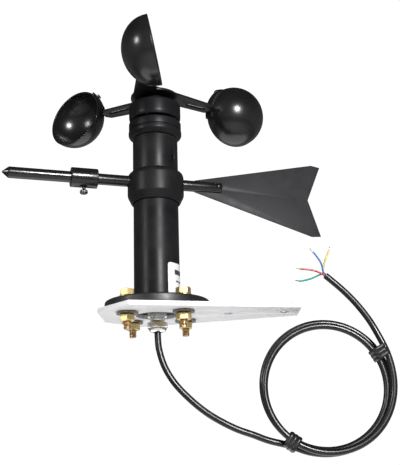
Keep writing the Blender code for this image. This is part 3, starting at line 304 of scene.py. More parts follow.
POWDER_COAT = Finish("black_powder_coat", "black_paint", (0.010, 0.010, 0.011), (0.015, 0.015, 0.017),
                     (0.38, 0.48),
                     grain_scale=800.0, grain_depth=0.00010, worn=(0.10, 0.10, 0.105), wear=1.2)
SMOOTH_BLACK = Finish("turned_black_enamel", "black_paint", (0.008, 0.008, 0.009), (0.012, 0.012, 0.013),
                      (0.34, 0.43),
                      grain_scale=900.0, grain_depth=0.000006, worn=(0.07, 0.07, 0.075), wear=1.2,
                      specular=0.14)
ROD_BLACK = Finish("glossy_rod_enamel", "black_paint", (0.008, 0.008, 0.009), (0.011, 0.011, 0.012),
                   (0.20, 0.27),
                   coat=0.05, grain_scale=900.0, grain_depth=0.000004, worn=(0.09, 0.09, 0.095), wear=1.5)
SHEET_BLACK = Finish("matt_black_sheet", "black_sheet", (0.018, 0.018, 0.020), (0.023, 0.023, 0.026),
                     (0.50, 0.62),
                     grain_scale=1100.0, grain_depth=0.00002, worn=(0.12, 0.12, 0.125), wear=1.5,
                     specular=0.25)
MOULDED_BLACK = Finish("moulded_black_cup", "black_plastic", (0.0075, 0.0075, 0.0080),
                       (0.0105, 0.0105, 0.0110),
                       (0.235, 0.265), patch_scale=45.0, grain_scale=1500.0, grain_depth=0.000003)
PLATE_PAINT = Finish("off_white_plate", "white_paint", (0.86, 0.86, 0.87), (0.80, 0.80, 0.82), (0.36, 0.50),
                     patch_scale=35.0, grain_scale=1300.0, grain_depth=0.00003, worn=(0.62, 0.62, 0.64),
                     wear=1.0)
LABEL_FILM = Finish("label_film", "white_paint", (0.82, 0.83, 0.84), (0.78, 0.79, 0.80), (0.30, 0.36))
YELLOW_ZINC = Finish("yellow_zinc", "yellow_zinc", (0.64, 0.56, 0.38), (0.44, 0.36, 0.21), (0.18, 0.30), 1.0,
                     patch_scale=260.0, grain_scale=2600.0, grain_depth=0.000006, worn=(0.78, 0.76, 0.70),
                     wear=2.5)
# Painted shade: a darkened copy of the yellow zinc for the washers under the plate, standing in for their
# shade and dark reflections; the lit pieces keep the yellow zinc.
PAINTED_SHADE_ZINC = Finish("shaded_zinc", "yellow_zinc", (0.30, 0.27, 0.20), (0.16, 0.15, 0.12), (0.25, 0.40), 1.0,
                   patch_scale=260.0, grain_scale=2600.0, grain_depth=0.000006)
RUSTY_THREAD = Finish("coppery_thread", "yellow_zinc", (0.72, 0.45, 0.24), (0.55, 0.42, 0.20), (0.24, 0.42),
                      1.0, patch_scale=320.0, grain_scale=2600.0, grain_depth=0.00002)
NICKEL = Finish("bright_nickel", "nickel", (0.94, 0.93, 0.91), (0.86, 0.85, 0.83), (0.20, 0.30), 1.0,
                patch_scale=180.0, grain_scale=2400.0, grain_depth=0.000003, worn=(0.90, 0.88, 0.84),
                wear=2.0)
BLACK_OXIDE = Finish("black_oxide", "dark_steel", (0.030, 0.030, 0.032), (0.046, 0.045, 0.044), (0.26, 0.38),
                     1.0,
                     patch_scale=300.0, grain_scale=2400.0, grain_depth=0.00001, worn=(0.22, 0.22, 0.23),
                     wear=2.0)
GROUND_STEEL = Finish("ground_steel", "bearing_steel", (0.66, 0.66, 0.68), (0.56, 0.56, 0.58), (0.14, 0.26),
                      1.0, patch_scale=200.0, grain_scale=3000.0, grain_depth=0.00001)
SINTERED = Finish("sintered_magnet", "magnet", (0.17, 0.17, 0.18), (0.23, 0.23, 0.24), (0.40, 0.55), 1.0,
                  grain_scale=3600.0, grain_depth=0.00003)
SEAL_RUBBER = Finish("seal_rubber", "rubber", (0.018, 0.018, 0.018), (0.030, 0.030, 0.030), (0.70, 0.85))
SHEATH = Finish("cable_sheath", "cable_jacket", (0.006, 0.006, 0.007), (0.009, 0.009, 0.010), (0.29, 0.35),
                patch_scale=40.0, grain_scale=1500.0, grain_depth=0.0)
TIE_NYLON = Finish("tie_nylon", "cable_jacket", (0.006, 0.006, 0.007), (0.010, 0.010, 0.011), (0.32, 0.46),
                   grain_scale=1500.0, grain_depth=0.000004)
SOLDER_RESIST = Finish("solder_resist", "green_board", (0.015, 0.15, 0.06), (0.010, 0.11, 0.045),
                       (0.25, 0.40), coat=0.2, patch_scale=500.0)
TINNED_TIP = Finish("tinned_tip", "nickel", (0.34, 0.32, 0.30), (0.32, 0.24, 0.17), (0.24, 0.40), 1.0,
                    patch_scale=900.0, grain_scale=5000.0, grain_depth=0.00002)


def insulation(name: str, tone: tuple[float, float, float]) -> Finish:
    """Return a wire's insulation in one tone and a slightly darker one.

    Args:
        name: the insulation's name.
        tone: its colour.

    Returns:
        The finish.
    """
    darker = tuple(0.8 * part for part in tone)
    return Finish(f"{name}_insulation", name, tone, darker, (0.28, 0.42), coat=0.1, patch_scale=300.0,
                  grain_scale=3000.0, grain_depth=0.00001)


# ---------------------------------------------------------------- mesh helpers
def turned(name: str, section: Section | Callable[[float], Section], segments: int = 96,
           closed: bool = True) -> bpy.types.Mesh:
    """Turn a section of (radius, height) points about Z.

    Args:
        name: the mesh's name.
        section: the points, or a function of the angle for a shape that isn't round.
        segments: steps round the axis.
        closed: whether the section joins its own start, or else starts and ends on the axis.

    Returns:
        The closed mesh, with its faces pointing outwards.
    """
    mesh = bpy.data.meshes.new(name)
    shape = bmesh.new()
    rows = []
    for index in range(segments):
        angle = math.tau * index / segments
        points = section(angle) if callable(section) else section
        rows.append([shape.verts.new((r * math.cos(angle), r * math.sin(angle), z)) for r, z in points])
    count = len(rows[0])
    for here, after in zip(rows, [*rows[1:], rows[0]]):
        for step in range(count if closed else count - 1):
            beyond = (step + 1) % count
            shape.faces.new((here[step], here[beyond], after[beyond], after[step]))
    finish_shape(shape, mesh)
    return mesh


def finish_shape(shape: bmesh.types.BMesh, mesh: bpy.types.Mesh, sharp: float = 35.0) -> None:
    """Weld a shape, turn its faces outwards and write it to a mesh, smooth but for its sharp edges.

    Args:
        shape: the shape, which is freed.
        mesh: the mesh that takes it.
        sharp: the angle in degrees past which an edge is sharp.
    """
    bmesh.ops.remove_doubles(shape, verts=shape.verts, dist=0.000002)
    bmesh.ops.dissolve_degenerate(shape, dist=0.0000015, edges=shape.edges)
    bmesh.ops.recalc_face_normals(shape, faces=shape.faces)
    shape.to_mesh(mesh)
    shape.free()
    mesh.shade_smooth()
    mesh.set_sharp_from_angle(angle=math.radians(sharp))


def cylinder(name: str, radius: float, first: float, last: float, segments: int = 32) -> bpy.types.Mesh:
    """Make a plain cylinder on the Z axis.

    Args:
        name: the mesh's name.
        radius: its radius.
        first: the height of one end.
        last: the height of the other end.
        segments: steps round the axis.

    Returns:
        The closed mesh.
    """
    return turned(name, [(0.0, first), (radius, first), (radius, last), (0.0, last)], segments, closed=False)


def block(name: str, matrix: Matrix) -> bpy.types.Mesh:
    """Make a block from a cube of side 1.

    Args:
        name: the mesh's name.
        matrix: the block's size and place.

    Returns:
        The closed mesh.
    """
    mesh = bpy.data.meshes.new(name)
    shape = bmesh.new()
    bmesh.ops.create_cube(shape, size=1.0, matrix=matrix)
    shape.to_mesh(mesh)
    shape.free()
    return mesh


def rounded(points: Sequence[tuple[float, float, float]], steps: int = 4) -> Section:
    """Round a closed section's corners.

    Args:
        points: radius, height and rounding of each corner.
        steps: steps in each rounding.

    Returns:
        The section with its corners rounded.
    """
    section: Section = []
    for index, (radius, height, rounding) in enumerate(points):
        corner = Vector((radius, height))
        if rounding <= 0:
            section.append((radius, height))
            continue
        before = Vector(points[index - 1][:2]) - corner
        after = Vector(points[(index + 1) % len(points)][:2]) - corner
        cut = min(rounding, 0.45 * before.length, 0.45 * after.length)
        start, end = corner + before.normalized() * cut, corner + after.normalized() * cut
        for step in range(steps + 1):
            t = step / steps
            section.append(tuple((1 - t) ** 2 * start + 2 * t * (1 - t) * corner + t * t * end))
    return section


def hexagonal(name: str, across: float, bottom: float, top: float, bore: float,
              ends: tuple[bool, bool] = (True, True)) -> bpy.types.Mesh:
    """Make a hexagonal nut or head whose corners are chamfered as on turned hexagon stock.

    Args:
        name: the mesh's name.
        across: width across the flats.
        bottom: height of its lower face.
        top: height of its upper face.
        bore: radius of its hole.
        ends: whether its lower and upper corners are chamfered.

    Returns:
        The closed mesh.
    """
    flat, slope = across / 2, math.tan(math.radians(30))

    def section(angle: float) -> Section:
        """Return the outline in the direction of an angle."""
        turn = (angle + math.pi / 6) % (math.pi / 3) - math.pi / 6
        reach = flat / math.cos(turn) * (1 - 0.012 * (abs(turn) / (math.pi / 6)) ** 8)
        fall = (reach - 0.97 * flat) * slope
        low, high = bottom + fall * ends[0], top - fall * ends[1]
        soft = 0.00012
        return [(bore, bottom), (0.97 * flat if ends[0] else reach - soft, bottom),
                (reach, low + soft * (not ends[0])),
                (reach, high - soft * (not ends[1])), (0.97 * flat if ends[1] else reach - soft, top),
                (bore, top)]

    return turned(name, section, 72)


def swept(name: str, path: Sequence[Vector], radius: Callable[[float], float],
          sides: int = 20) -> bpy.types.Mesh:
    """Sweep a round section along a path without twist, with rounded closed ends.

    Args:
        name: the mesh's name.
        path: the centreline.
        radius: the radius at a share of the way along.
        sides: points round the section.

    Returns:
        The closed tube.
    """
    mesh = bpy.data.meshes.new(name)
    shape = bmesh.new()
    ahead = (path[1] - path[0]).normalized()
    side = ahead.orthogonal().normalized()
    rows = []
    for index, point in enumerate(path):
        onward = (path[min(index + 1, len(path) - 1)] - path[max(index - 1, 0)]).normalized()
        side = (side - onward * side.dot(onward)).normalized()
        lift = onward.cross(side)
        reach = radius(index / (len(path) - 1))
        turns = [math.tau * k / sides for k in range(sides)]
        ways = [math.cos(t) * side + math.sin(t) * lift for t in turns]
        rows.append([shape.verts.new(point + reach * way) for way in ways])
    for here, after in zip(rows, rows[1:]):
        for k in range(sides):
            shape.faces.new((here[k], here[(k + 1) % sides], after[(k + 1) % sides], after[k]))
    shape.faces.new(rows[0])
    shape.faces.new(rows[-1])
    finish_shape(shape, mesh)
    return mesh


def smooth_path(points: Sequence[Sequence[float]], spacing: float) -> list[Vector]:
    """Read evenly spaced points from a Catmull-Rom curve.

    Args:
        points: the points that the curve goes through.
        spacing: the distance wanted between points.

    Returns:
        The points along the curve.
    """
    knots = [Vector(point) for point in points]
    knots = [2 * knots[0] - knots[1], *knots, 2 * knots[-1] - knots[-2]]
    dense = []
    for before, start, end, after in zip(knots, knots[1:], knots[2:], knots[3:]):
        bend, twist = 2 * before - 5 * start + 4 * end - after, 3 * start - before - 3 * end + after
        for step in range(16):
            t = step / 16
            dense.append(0.5 * (2 * start + (end - before) * t + bend * t ** 2 + twist * t ** 3))
    dense.append(knots[-2])
    length = path_length(dense)
    count = max(2, round(length / spacing))
    path, walked = [dense[0]], 0.0
    for here, after in zip(dense, dense[1:]):
        step = (after - here).length
        while len(path) < count and walked + step >= length * len(path) / count:
            path.append(here.lerp(after, (length * len(path) / count - walked) / step))
        walked += step
    return [*path, dense[-1]]


def path_length(path: Sequence[Vector]) -> float:
    """Return the length of a line of points."""
    return sum((after - here).length for here, after in zip(path, path[1:]))


def merged(name: str, *meshes: bpy.types.Mesh) -> bpy.types.Mesh:
    """Put several closed shapes in one mesh.

    Args:
        name: the mesh's name.
        meshes: the shapes.

    Returns:
        The mesh of them all.
    """
    mesh = bpy.data.meshes.new(name)
    shape = bmesh.new()
    for part in meshes:
        shape.from_mesh(part)
    shape.to_mesh(mesh)
    shape.free()
    mesh.shade_smooth()
    mesh.set_sharp_from_angle(angle=math.radians(35))
    return mesh


def placed(mesh: bpy.types.Mesh, matrix: Matrix) -> bpy.types.Mesh:
    """Move a copy of a mesh.

    Args:
        mesh: the mesh, which stays as it is.
        matrix: the move.

    Returns:
        The moved copy.
    """
    copy = mesh.copy()
    copy.transform(matrix)
    return copy


def applied(item: bpy.types.Object) -> bpy.types.Mesh:
    """Apply an object's modifiers and remove the object.

    Args:
        item: the object.

    Returns:
        Its finished mesh.
    """
    bpy.context.view_layer.update()
    mesh = bpy.data.meshes.new_from_object(item.evaluated_get(bpy.context.evaluated_depsgraph_get()))
    bpy.data.objects.remove(item, do_unlink=True)
    return mesh


def linked(name: str, mesh: bpy.types.Mesh) -> bpy.types.Object:
    """Return a new object in the scene."""
    item = bpy.data.objects.new(name, mesh)
    bpy.context.scene.collection.objects.link(item)
    return item


def softened(node: str, width: float, segments: int = 2) -> bpy.types.Mesh:
    """Copy a frame node's shape with its edges rounded.

    Args:
        node: the node.
        width: the rounding's width.
        segments: steps in the rounding.

    Returns:
        The rounded mesh.
    """
    mesh = bpy.data.meshes.new(f"{node}_soft")
    shape = bmesh.new()
    shape.from_mesh(bpy.data.objects[node].data)
    bmesh.ops.remove_doubles(shape, verts=shape.verts, dist=0.000005)
    bmesh.ops.dissolve_limit(shape, angle_limit=math.radians(1.0), verts=shape.verts, edges=shape.edges)
    finish_shape(shape, mesh)
    item = linked(mesh.name, mesh)
    bevel = item.modifiers.new("rounding", "BEVEL")
    bevel.width, bevel.segments, bevel.limit_method = width, segments, "ANGLE"
    bevel.angle_limit = math.radians(40)
    result = applied(item)
    result.shade_smooth()
    result.set_sharp_from_angle(angle=math.radians(35))
    return result


def cut(mesh: bpy.types.Mesh, tool: bpy.types.Mesh) -> bpy.types.Mesh:
    """Cut a tool's shape out of a mesh.

    Args:
        mesh: the mesh.
        tool: the shape that is cut out.

    Returns:
        The mesh that is left.
    """
    item, cutter = linked("cut_piece", mesh), linked("cut_tool", tool)
    knife = item.modifiers.new("cut", "BOOLEAN")
    knife.object, knife.solver = cutter, "EXACT"
    result = applied(item)
    bpy.data.objects.remove(cutter, do_unlink=True)
    return result


# ---------------------------------------------------------------- geometry node trees
class GeometryTrees:
    """The node trees that repeat a shape round an axis and cut a screw thread."""

    def __init__(self) -> None:
        """Build both trees."""
        self.copies, self.copies_inputs = self._copies()
        self.thread, self.thread_inputs = self._thread()

    @staticmethod
    def _new(name: str, inputs: Sequence[tuple[str, str]]) -> tuple:
        """Make a tree that takes and gives geometry.

        Args:
            name: the tree's name.
            inputs: names and socket types of its inputs.

        Returns:
            The tree, the identifiers of its inputs by name, and its input and output nodes.
        """
        tree = bpy.data.node_groups.new(name, "GeometryNodeTree")
        tree.interface.new_socket("Geometry", in_out="INPUT", socket_type="NodeSocketGeometry")
        tree.interface.new_socket("Geometry", in_out="OUTPUT", socket_type="NodeSocketGeometry")
        names = {label: tree.interface.new_socket(label, in_out="INPUT", socket_type=kind).identifier
                 for label, kind in inputs}
        return tree, names, tree.nodes.new("NodeGroupInput"), tree.nodes.new("NodeGroupOutput")

    @staticmethod
    def _math(tree: bpy.types.NodeTree, operation: str, first: bpy.types.NodeSocket,
              second: bpy.types.NodeSocket) -> bpy.types.NodeSocket:
        """Work out one value from two.

        Args:
            tree: the tree.
            operation: the math node's operation.
            first: the first value's socket.
            second: the second value's socket.

        Returns:
            The result's socket.
        """
        node = tree.nodes.new("ShaderNodeMath")
        node.operation = operation
        tree.links.new(first, node.inputs[0])
        tree.links.new(second, node.inputs[1])
        return node.outputs[0]

    def _copies(self) -> tuple:
        """Return the tree that turns copies of a shape about Z, and its inputs."""
        tree, names, entry, leave = self._new("turned_copies", [
            ("Count", "NodeSocketInt"), ("Pitch", "NodeSocketFloat"), ("Start", "NodeSocketFloat"),
            ("Material", "NodeSocketMaterial")])
        line = tree.nodes.new("GeometryNodeMeshLine")
        line.inputs["Offset"].default_value = (0.0, 0.0, 0.0)
        index = tree.nodes.new("GeometryNodeInputIndex")
        turn = tree.nodes.new("ShaderNodeCombineXYZ")
        instances = tree.nodes.new("GeometryNodeInstanceOnPoints")
        realize = tree.nodes.new("GeometryNodeRealizeInstances")
        dress = tree.nodes.new("GeometryNodeSetMaterial")
        angle = self._math(tree, "MULTIPLY", index.outputs[0], entry.outputs["Pitch"])
        angle = self._math(tree, "ADD", angle, entry.outputs["Start"])
        tree.links.new(entry.outputs["Count"], line.inputs["Count"])
        tree.links.new(line.outputs["Mesh"], instances.inputs["Points"])
        tree.links.new(entry.outputs["Geometry"], instances.inputs["Instance"])
        tree.links.new(angle, turn.inputs["Z"])
        tree.links.new(turn.outputs["Vector"], instances.inputs["Rotation"])
        tree.links.new(instances.outputs["Instances"], realize.inputs["Geometry"])
        tree.links.new(realize.outputs["Geometry"], dress.inputs["Geometry"])
        tree.links.new(entry.outputs["Material"], dress.inputs["Material"])
        tree.links.new(dress.outputs["Geometry"], leave.inputs["Geometry"])
        return tree, names

    def _thread(self) -> tuple:
        """Return the tree that lays a three-sided ridge along a helix, and its inputs."""
        tree, names, entry, leave = self._new("thread_ridge", [
            ("Radius", "NodeSocketFloat"), ("Length", "NodeSocketFloat"), ("Turns", "NodeSocketFloat"),
            ("Ridge", "NodeSocketFloat"), ("Material", "NodeSocketMaterial")])
        helix = tree.nodes.new("GeometryNodeCurveSpiral")
        helix.inputs["Resolution"].default_value = 20
        ridge = tree.nodes.new("GeometryNodeCurvePrimitiveCircle")
        ridge.inputs["Resolution"].default_value = 3
        sweep = tree.nodes.new("GeometryNodeCurveToMesh")
        sweep.inputs["Fill Caps"].default_value = True
        realize = tree.nodes.new("GeometryNodeRealizeInstances")
        dress = tree.nodes.new("GeometryNodeSetMaterial")
        for label, socket in (("Radius", "Start Radius"), ("Radius", "End Radius"), ("Length", "Height"),
                              ("Turns", "Rotations")):
            tree.links.new(entry.outputs[label], helix.inputs[socket])
        tree.links.new(entry.outputs["Ridge"], ridge.inputs["Radius"])
        tree.links.new(helix.outputs["Curve"], sweep.inputs["Curve"])
        tree.links.new(ridge.outputs["Curve"], sweep.inputs["Profile Curve"])
        tree.links.new(sweep.outputs["Mesh"], realize.inputs["Geometry"])
        tree.links.new(realize.outputs["Geometry"], dress.inputs["Geometry"])
        tree.links.new(entry.outputs["Material"], dress.inputs["Material"])
        tree.links.new(dress.outputs["Geometry"], leave.inputs["Geometry"])
        return tree, names

    @staticmethod
    def _run(tree: bpy.types.NodeTree, names: dict[str, str], mesh: bpy.types.Mesh,
             values: dict[str, object]) -> bpy.types.Mesh:
        """Run a tree on a mesh.

        Args:
            tree: the tree.
            names: the identifiers of its inputs by name.
            mesh: the mesh that it starts from.
            values: the inputs' values by name.

        Returns:
            The plain mesh that it makes.
        """
        item = bpy.data.objects.new("tree_host", mesh)
        modifier = item.modifiers.new("tree", "NODES")
        modifier.node_group = tree
        for label, value in values.items():
            modifier[names[label]] = value
        bpy.context.scene.collection.objects.link(item)
        return applied(item)

    def copies_of(self, mesh: bpy.types.Mesh, count: int, start: float,
                  material: bpy.types.Material) -> bpy.types.Mesh:
        """Turn copies of a shape evenly about Z.

        Args:
            mesh: the shape, with the axis through its origin.
            count: how many copies.
            start: the first copy's turn, in degrees.
            material: the copies' material.

        Returns:
            One mesh of all the copies.
        """
        values = {"Count": count, "Pitch": math.tau / count, "Start": math.radians(start),
                  "Material": material}
        return self._run(self.copies, self.copies_inputs, mesh, values)

    def thread_ridge(self, radius: float, length: float, pitch: float,
                     material: bpy.types.Material) -> bpy.types.Mesh:
        """Make a thread's ridge up the Z axis from the origin.

        Args:
            radius: radius of the core that the ridge stands on.
            length: length of the threaded stretch.
            pitch: advance per turn.
            material: the ridge's material.

        Returns:
            The ridge's mesh.
        """
        values = {"Radius": radius, "Length": length, "Turns": length / pitch, "Ridge": 0.48 * pitch,
                  "Material": material}
        return self._run(self.thread, self.thread_inputs, bpy.data.meshes.new("thread_start"), values)


# ---------------------------------------------------------------- the workshop that all sub-assemblies share
@dataclass
class Workshop:
    """The loaded frame with the shared groups, trees and axes."""

    frame: dict
    groups: ShaderGroups
    trees: GeometryTrees
    vane_azimuth: float = 18.2
    rotor_azimuth: float = -85.7
    boxes: dict[str, tuple] = field(default_factory=dict)

    def _box(self, node: str) -> tuple:
        """Return a frame node's box, measured once."""
        if node not in self.boxes:
            self.boxes[node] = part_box(node)
        return self.boxes[node]

    def low(self, node: str) -> Vector:
        """Return a frame node's lowest corner."""
        return Vector(self._box(node)[0])

    def high(self, node: str) -> Vector:
        """Return a frame node's highest corner."""
        return Vector(self._box(node)[1])

    def radius(self, node: str) -> float:
        """Return the radius of a round upright frame node."""
        return (self.high(node).x - self.low(node).x) / 2

    @property
    def column(self) -> Matrix:
        """Return the place of the column's axis, at height zero."""
        middle = (self.low("base_flange") + self.high("base_flange")) / 2
        return Matrix.Translation((middle.x, middle.y, 0.0))

    @property
    def rods(self) -> Matrix:
        """Return the vane rods' axis as local X, towards the fin."""
        height = (self.low("counterweight_sleeve").z + self.high("counterweight_sleeve").z) / 2
        turn = Matrix.Rotation(math.radians(self.vane_azimuth), 4, "Z")
        return self.column @ Matrix.Translation((0, 0, height)) @ turn

    @property
    def rotor(self) -> Matrix:
        """Return the rotor's axis, with the first arm along local X."""
        return self.column @ Matrix.Rotation(math.radians(self.rotor_azimuth), 4, "Z")

    def piece(self, name: str, mesh: bpy.types.Mesh, finish: Finish, body: Body,
              replaces: Sequence[str] = (), matrix: Matrix | None = None) -> bpy.types.Object:
        """Put a finished piece in the scene, dress it and have it ride on its body.

        Args:
            name: the piece's name.
            mesh: its mesh.
            finish: its finish.
            body: the body that it moves with.
            replaces: the frame nodes that it stands for.
            matrix: its place, where the mesh isn't in place already.

        Returns:
            The piece.
        """
        mesh.name = name
        if matrix is not None:
            mesh.transform(matrix)
        material = finish.material(self.groups)
        mesh.materials.clear()
        mesh.materials.append(material)
        for face in mesh.polygons:
            face.material_index = 0
        item = linked(name, mesh)
        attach(item, body.value)
        if replaces:
            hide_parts(*replaces)
        LOG.info("%s: %d faces on %s", name, len(mesh.polygons), body.value)
        return item

    def dress(self, finish: Finish, *nodes: str) -> None:
        """Give frame nodes that are kept as they are a better material.

        Args:
            finish: the finish.
            nodes: the nodes.
        """
        for node in nodes:
            slots = self.frame["nodes"][node].data.materials
            slots.clear()
            slots.append(finish.material(self.groups))
            LOG.info("%s: dressed as %s", node, finish.name)


# ---------------------------------------------------------------- sub-assemblies
@dataclass
class Column:
    """The flange, the tubes, the bearing housing, the label and what is inside."""

    shop: Workshop
    fillet: float = 0.0005
    rim_rounding: float = 0.0014
    weld: float = 0.0006
    neck: float = 0.0110
    neck_bore: float = 0.0080
    lower_wall: float = 0.0020
    upper_wall: float = 0.0025
    screw_hole: float = 0.0019
    socket: float = 0.0008
    housing_height: float = 0.0138
    collar: float = 0.0147
    collar_web: float = 0.0064
    spigot_wall: float = 0.0028
    groove_height: float = 0.0066
    label_bottom: float = 0.0016
    label_height: float = 0.0265
    label_start: float = -58.0
    label_end: float = 20.0
    label_thick: float = 0.00018
    label_corner: float = 0.0022
    label_steps: int = 24
    bars: tuple = ((0.0195, 0.0019, 0.0030), (0.0125, 0.0006, 0.0042), (0.0075, 0.0006, 0.0050))
    bar_start: float = -0.78
    ink: tuple[float, float, float] = (0.05, 0.05, 0.06)

    def build(self) -> None:
        """Make and dress every piece of the column."""
        shop = self.shop
        self.flange()
        self.tubes()
        self.housing()
        self.label()
        shop.dress(SOLDER_RESIST, "circuit_board")
        shop.dress(GROUND_STEEL, "rotor_bearing_lower", "rotor_bearing_upper")

    def flange(self) -> None:
        """The round flange with its softened rim and the bead where the tube meets it."""
        shop = self.shop
        rim, low, high = shop.radius("base_flange"), shop.low("base_flange").z, shop.high("base_flange").z
        tube, thread = shop.radius("lower_tube"), shop.radius("gland_seal")
        floor, fit = shop.low("lower_tube").z - GAP, tube + GAP
        bore = thread + 0.0016
        section = rounded([(fit, high, self.fillet), (rim, high, self.rim_rounding), (rim, low, 0.0005),
                           (bore, low, 0), (bore, floor, 0), (fit, floor, 0)])
        shop.piece("base_flange_shell", turned("flange", section, 144), POWDER_COAT, Body.COLUMN,
                   ["base_flange"], shop.column)
        bead = rounded([(tube + 0.0001, high + self.weld, 0.0002), (tube + self.weld, high + 0.0001, 0.0003),
                        (tube + 0.0001, high + 0.0001, 0)])
        shop.piece("tube_sealing_bead", turned("bead", bead, 96), SMOOTH_BLACK, Body.COLUMN, (), shop.column)

    def tubes(self) -> None:
        """The lower tube with its neck, the upper tube and the socket set screw in it."""
        shop = self.shop
        outer, base, top = shop.radius("lower_tube"), shop.low("lower_tube").z, shop.high("lower_tube").z
        shoulder = shop.low("vane_bearing").z - GAP
        neck, bore, inner = self.neck, self.neck_bore, outer - self.lower_wall
        ceiling = shoulder - 2 * self.lower_wall
        section = rounded([(bore, top, 0.0003), (neck, top, 0.0003), (neck, shoulder, 0),
                           (outer, shoulder, 0.0006),
                           (outer, base, 0), (inner, base, 0), (inner, ceiling, 0), (bore, ceiling, 0)])
        shop.piece("lower_tube_shell", turned("lower", section, 120), SMOOTH_BLACK, Body.COLUMN,
                   ["lower_tube"], shop.column)

        outer, base, top = shop.radius("upper_tube"), shop.low("upper_tube").z, shop.high("upper_tube").z
        ledge, inner, fit = shop.high("lower_tube").z + GAP, outer - self.upper_wall, neck + GAP
        section = rounded([(inner, top, 0), (outer, top, 0.0005), (outer, base, 0.0008), (fit, base, 0),
                           (fit, ledge, 0), (inner, ledge, 0)])
        tube = placed(turned("upper", section, 120), shop.column)
        middle = (shop.low("set_screw") + shop.high("set_screw")) / 2
        out = Vector((middle.x - shop.column.translation.x, middle.y, 0.0))
        lie = Matrix.Translation(middle) @ out.to_track_quat("Z", "Y").to_matrix().to_4x4()
        drill = cylinder("drill", self.screw_hole, 0.006, -0.0032)
        shop.piece("upper_tube_shell", cut(tube, placed(drill, lie)), SMOOTH_BLACK, Body.COLUMN,
                   ["upper_tube"])
        deep = outer - out.length - 0.0028
        screw = rounded([(0.0, deep, 0), (self.socket, deep, 0), (self.socket, 0.0030, 0),
                         (0.0016, 0.0030, 0.0003), (0.0016, -0.0028, 0.0003), (0.0, -0.0028, 0)], 2)
        shop.piece("set_screw_socket", turned("socket", screw, 24, closed=False), BLACK_OXIDE, Body.COLUMN,
                   ["set_screw"], lie)

    def housing(self) -> None:
        """The bearing housing: a chamfered step above the tube, a shadow groove and the bearing collar."""
        shop = self.shop
        rim, base = shop.radius("bearing_housing"), shop.high("upper_tube").z + GAP
        top, spigot_base = base + self.housing_height, shop.low("bearing_housing").z
        collar, collar_top = self.collar, shop.high("bearing_housing").z
        seat, web = shop.radius("rotor_bearing_upper") + GAP, self.collar_web
        lower_top = shop.high("rotor_bearing_lower").z + GAP
        upper_base = shop.low("rotor_bearing_upper").z - GAP
        tube, spigot = shop.radius("upper_tube"), shop.radius("upper_tube") - self.spigot_wall
        groove = base + self.groove_height
        section = rounded([(seat, collar_top, 0.0003), (collar, collar_top, 0.0004), (collar, top, 0.0006),
                           (rim - 0.0003, top, 0.0009), (rim - 0.0003, groove + 0.0011, 0.0003),
                           (rim - 0.0011, groove + 0.0008, 0.0002),
                           (rim - 0.0011, groove, 0.0002), (rim, groove - 0.0004, 0.0003),
                           (rim, base + 0.0030, 0.0012),
                           (tube + 0.0002, base + 0.0002, 0.0004), (spigot, base, 0),
                           (spigot, spigot_base, 0.0003),
                           (seat, spigot_base, 0), (seat, lower_top, 0), (web, lower_top, 0),
                           (web, upper_base, 0), (seat, upper_base, 0)])
        shell = shop.piece("bearing_housing_shell", turned("housing", section, 120), SMOOTH_BLACK,
                           Body.COLUMN, ["bearing_housing"], shop.column)
        shell.data.materials.append(GROUND_STEEL.material(shop.groups))
        for face in shell.data.polygons:
            middle = face.center - shop.column.translation
            above = middle.z > top + 0.0004
            outside = math.hypot(middle.x, middle.y) > collar - 0.0005
            face.material_index = int(above and outside)

    def label(self) -> None:
        """The plain film label on the lower tube, with round corners and a few printed bars."""
        shop = self.shop
        inner = shop.radius("lower_tube") + 0.00002
        base = shop.high("base_flange").z + self.label_bottom
        arc = math.radians(self.label_end - self.label_start) * inner
        half = Vector((arc / 2, self.label_height / 2))
        outline = []
        for turn in [math.tau * k / 64 for k in range(64)]:
            side = Vector((math.copysign(1, math.cos(turn)), math.copysign(1, math.sin(turn))))
            corner = Vector((side.x * (half.x - self.label_corner), side.y * (half.y - self.label_corner)))
            outline.append(half + corner + self.label_corner * Vector((math.cos(turn), math.sin(turn))))
        shape = bmesh.new()
        shape.faces.new([shape.verts.new((p.x, p.y, 0.0)) for p in outline])
        for step in range(1, self.label_steps):
            geometry = [*shape.verts, *shape.edges, *shape.faces]
            bmesh.ops.bisect_plane(shape, geom=geometry, plane_co=(arc * step / self.label_steps, 0, 0),
                                   plane_no=(1, 0, 0))
        walls = bmesh.ops.extrude_face_region(shape, geom=list(shape.faces))
        raised = [item for item in walls["geom"] if isinstance(item, bmesh.types.BMVert)]
        bmesh.ops.translate(shape, verts=raised, vec=(0, 0, self.label_thick))
        for vertex in shape.verts:
            angle = math.radians(self.label_start) + vertex.co.x / inner
            reach = inner + vertex.co.z
            vertex.co = (reach * math.cos(angle), reach * math.sin(angle), base + vertex.co.y)
        mesh = bpy.data.meshes.new("label")
        finish_shape(shape, mesh)
        label = shop.piece("plain_label", mesh, LABEL_FILM, Body.COLUMN, (), shop.column)
        label.data.materials[0] = self.printed(label.data.materials[0].copy(), base)

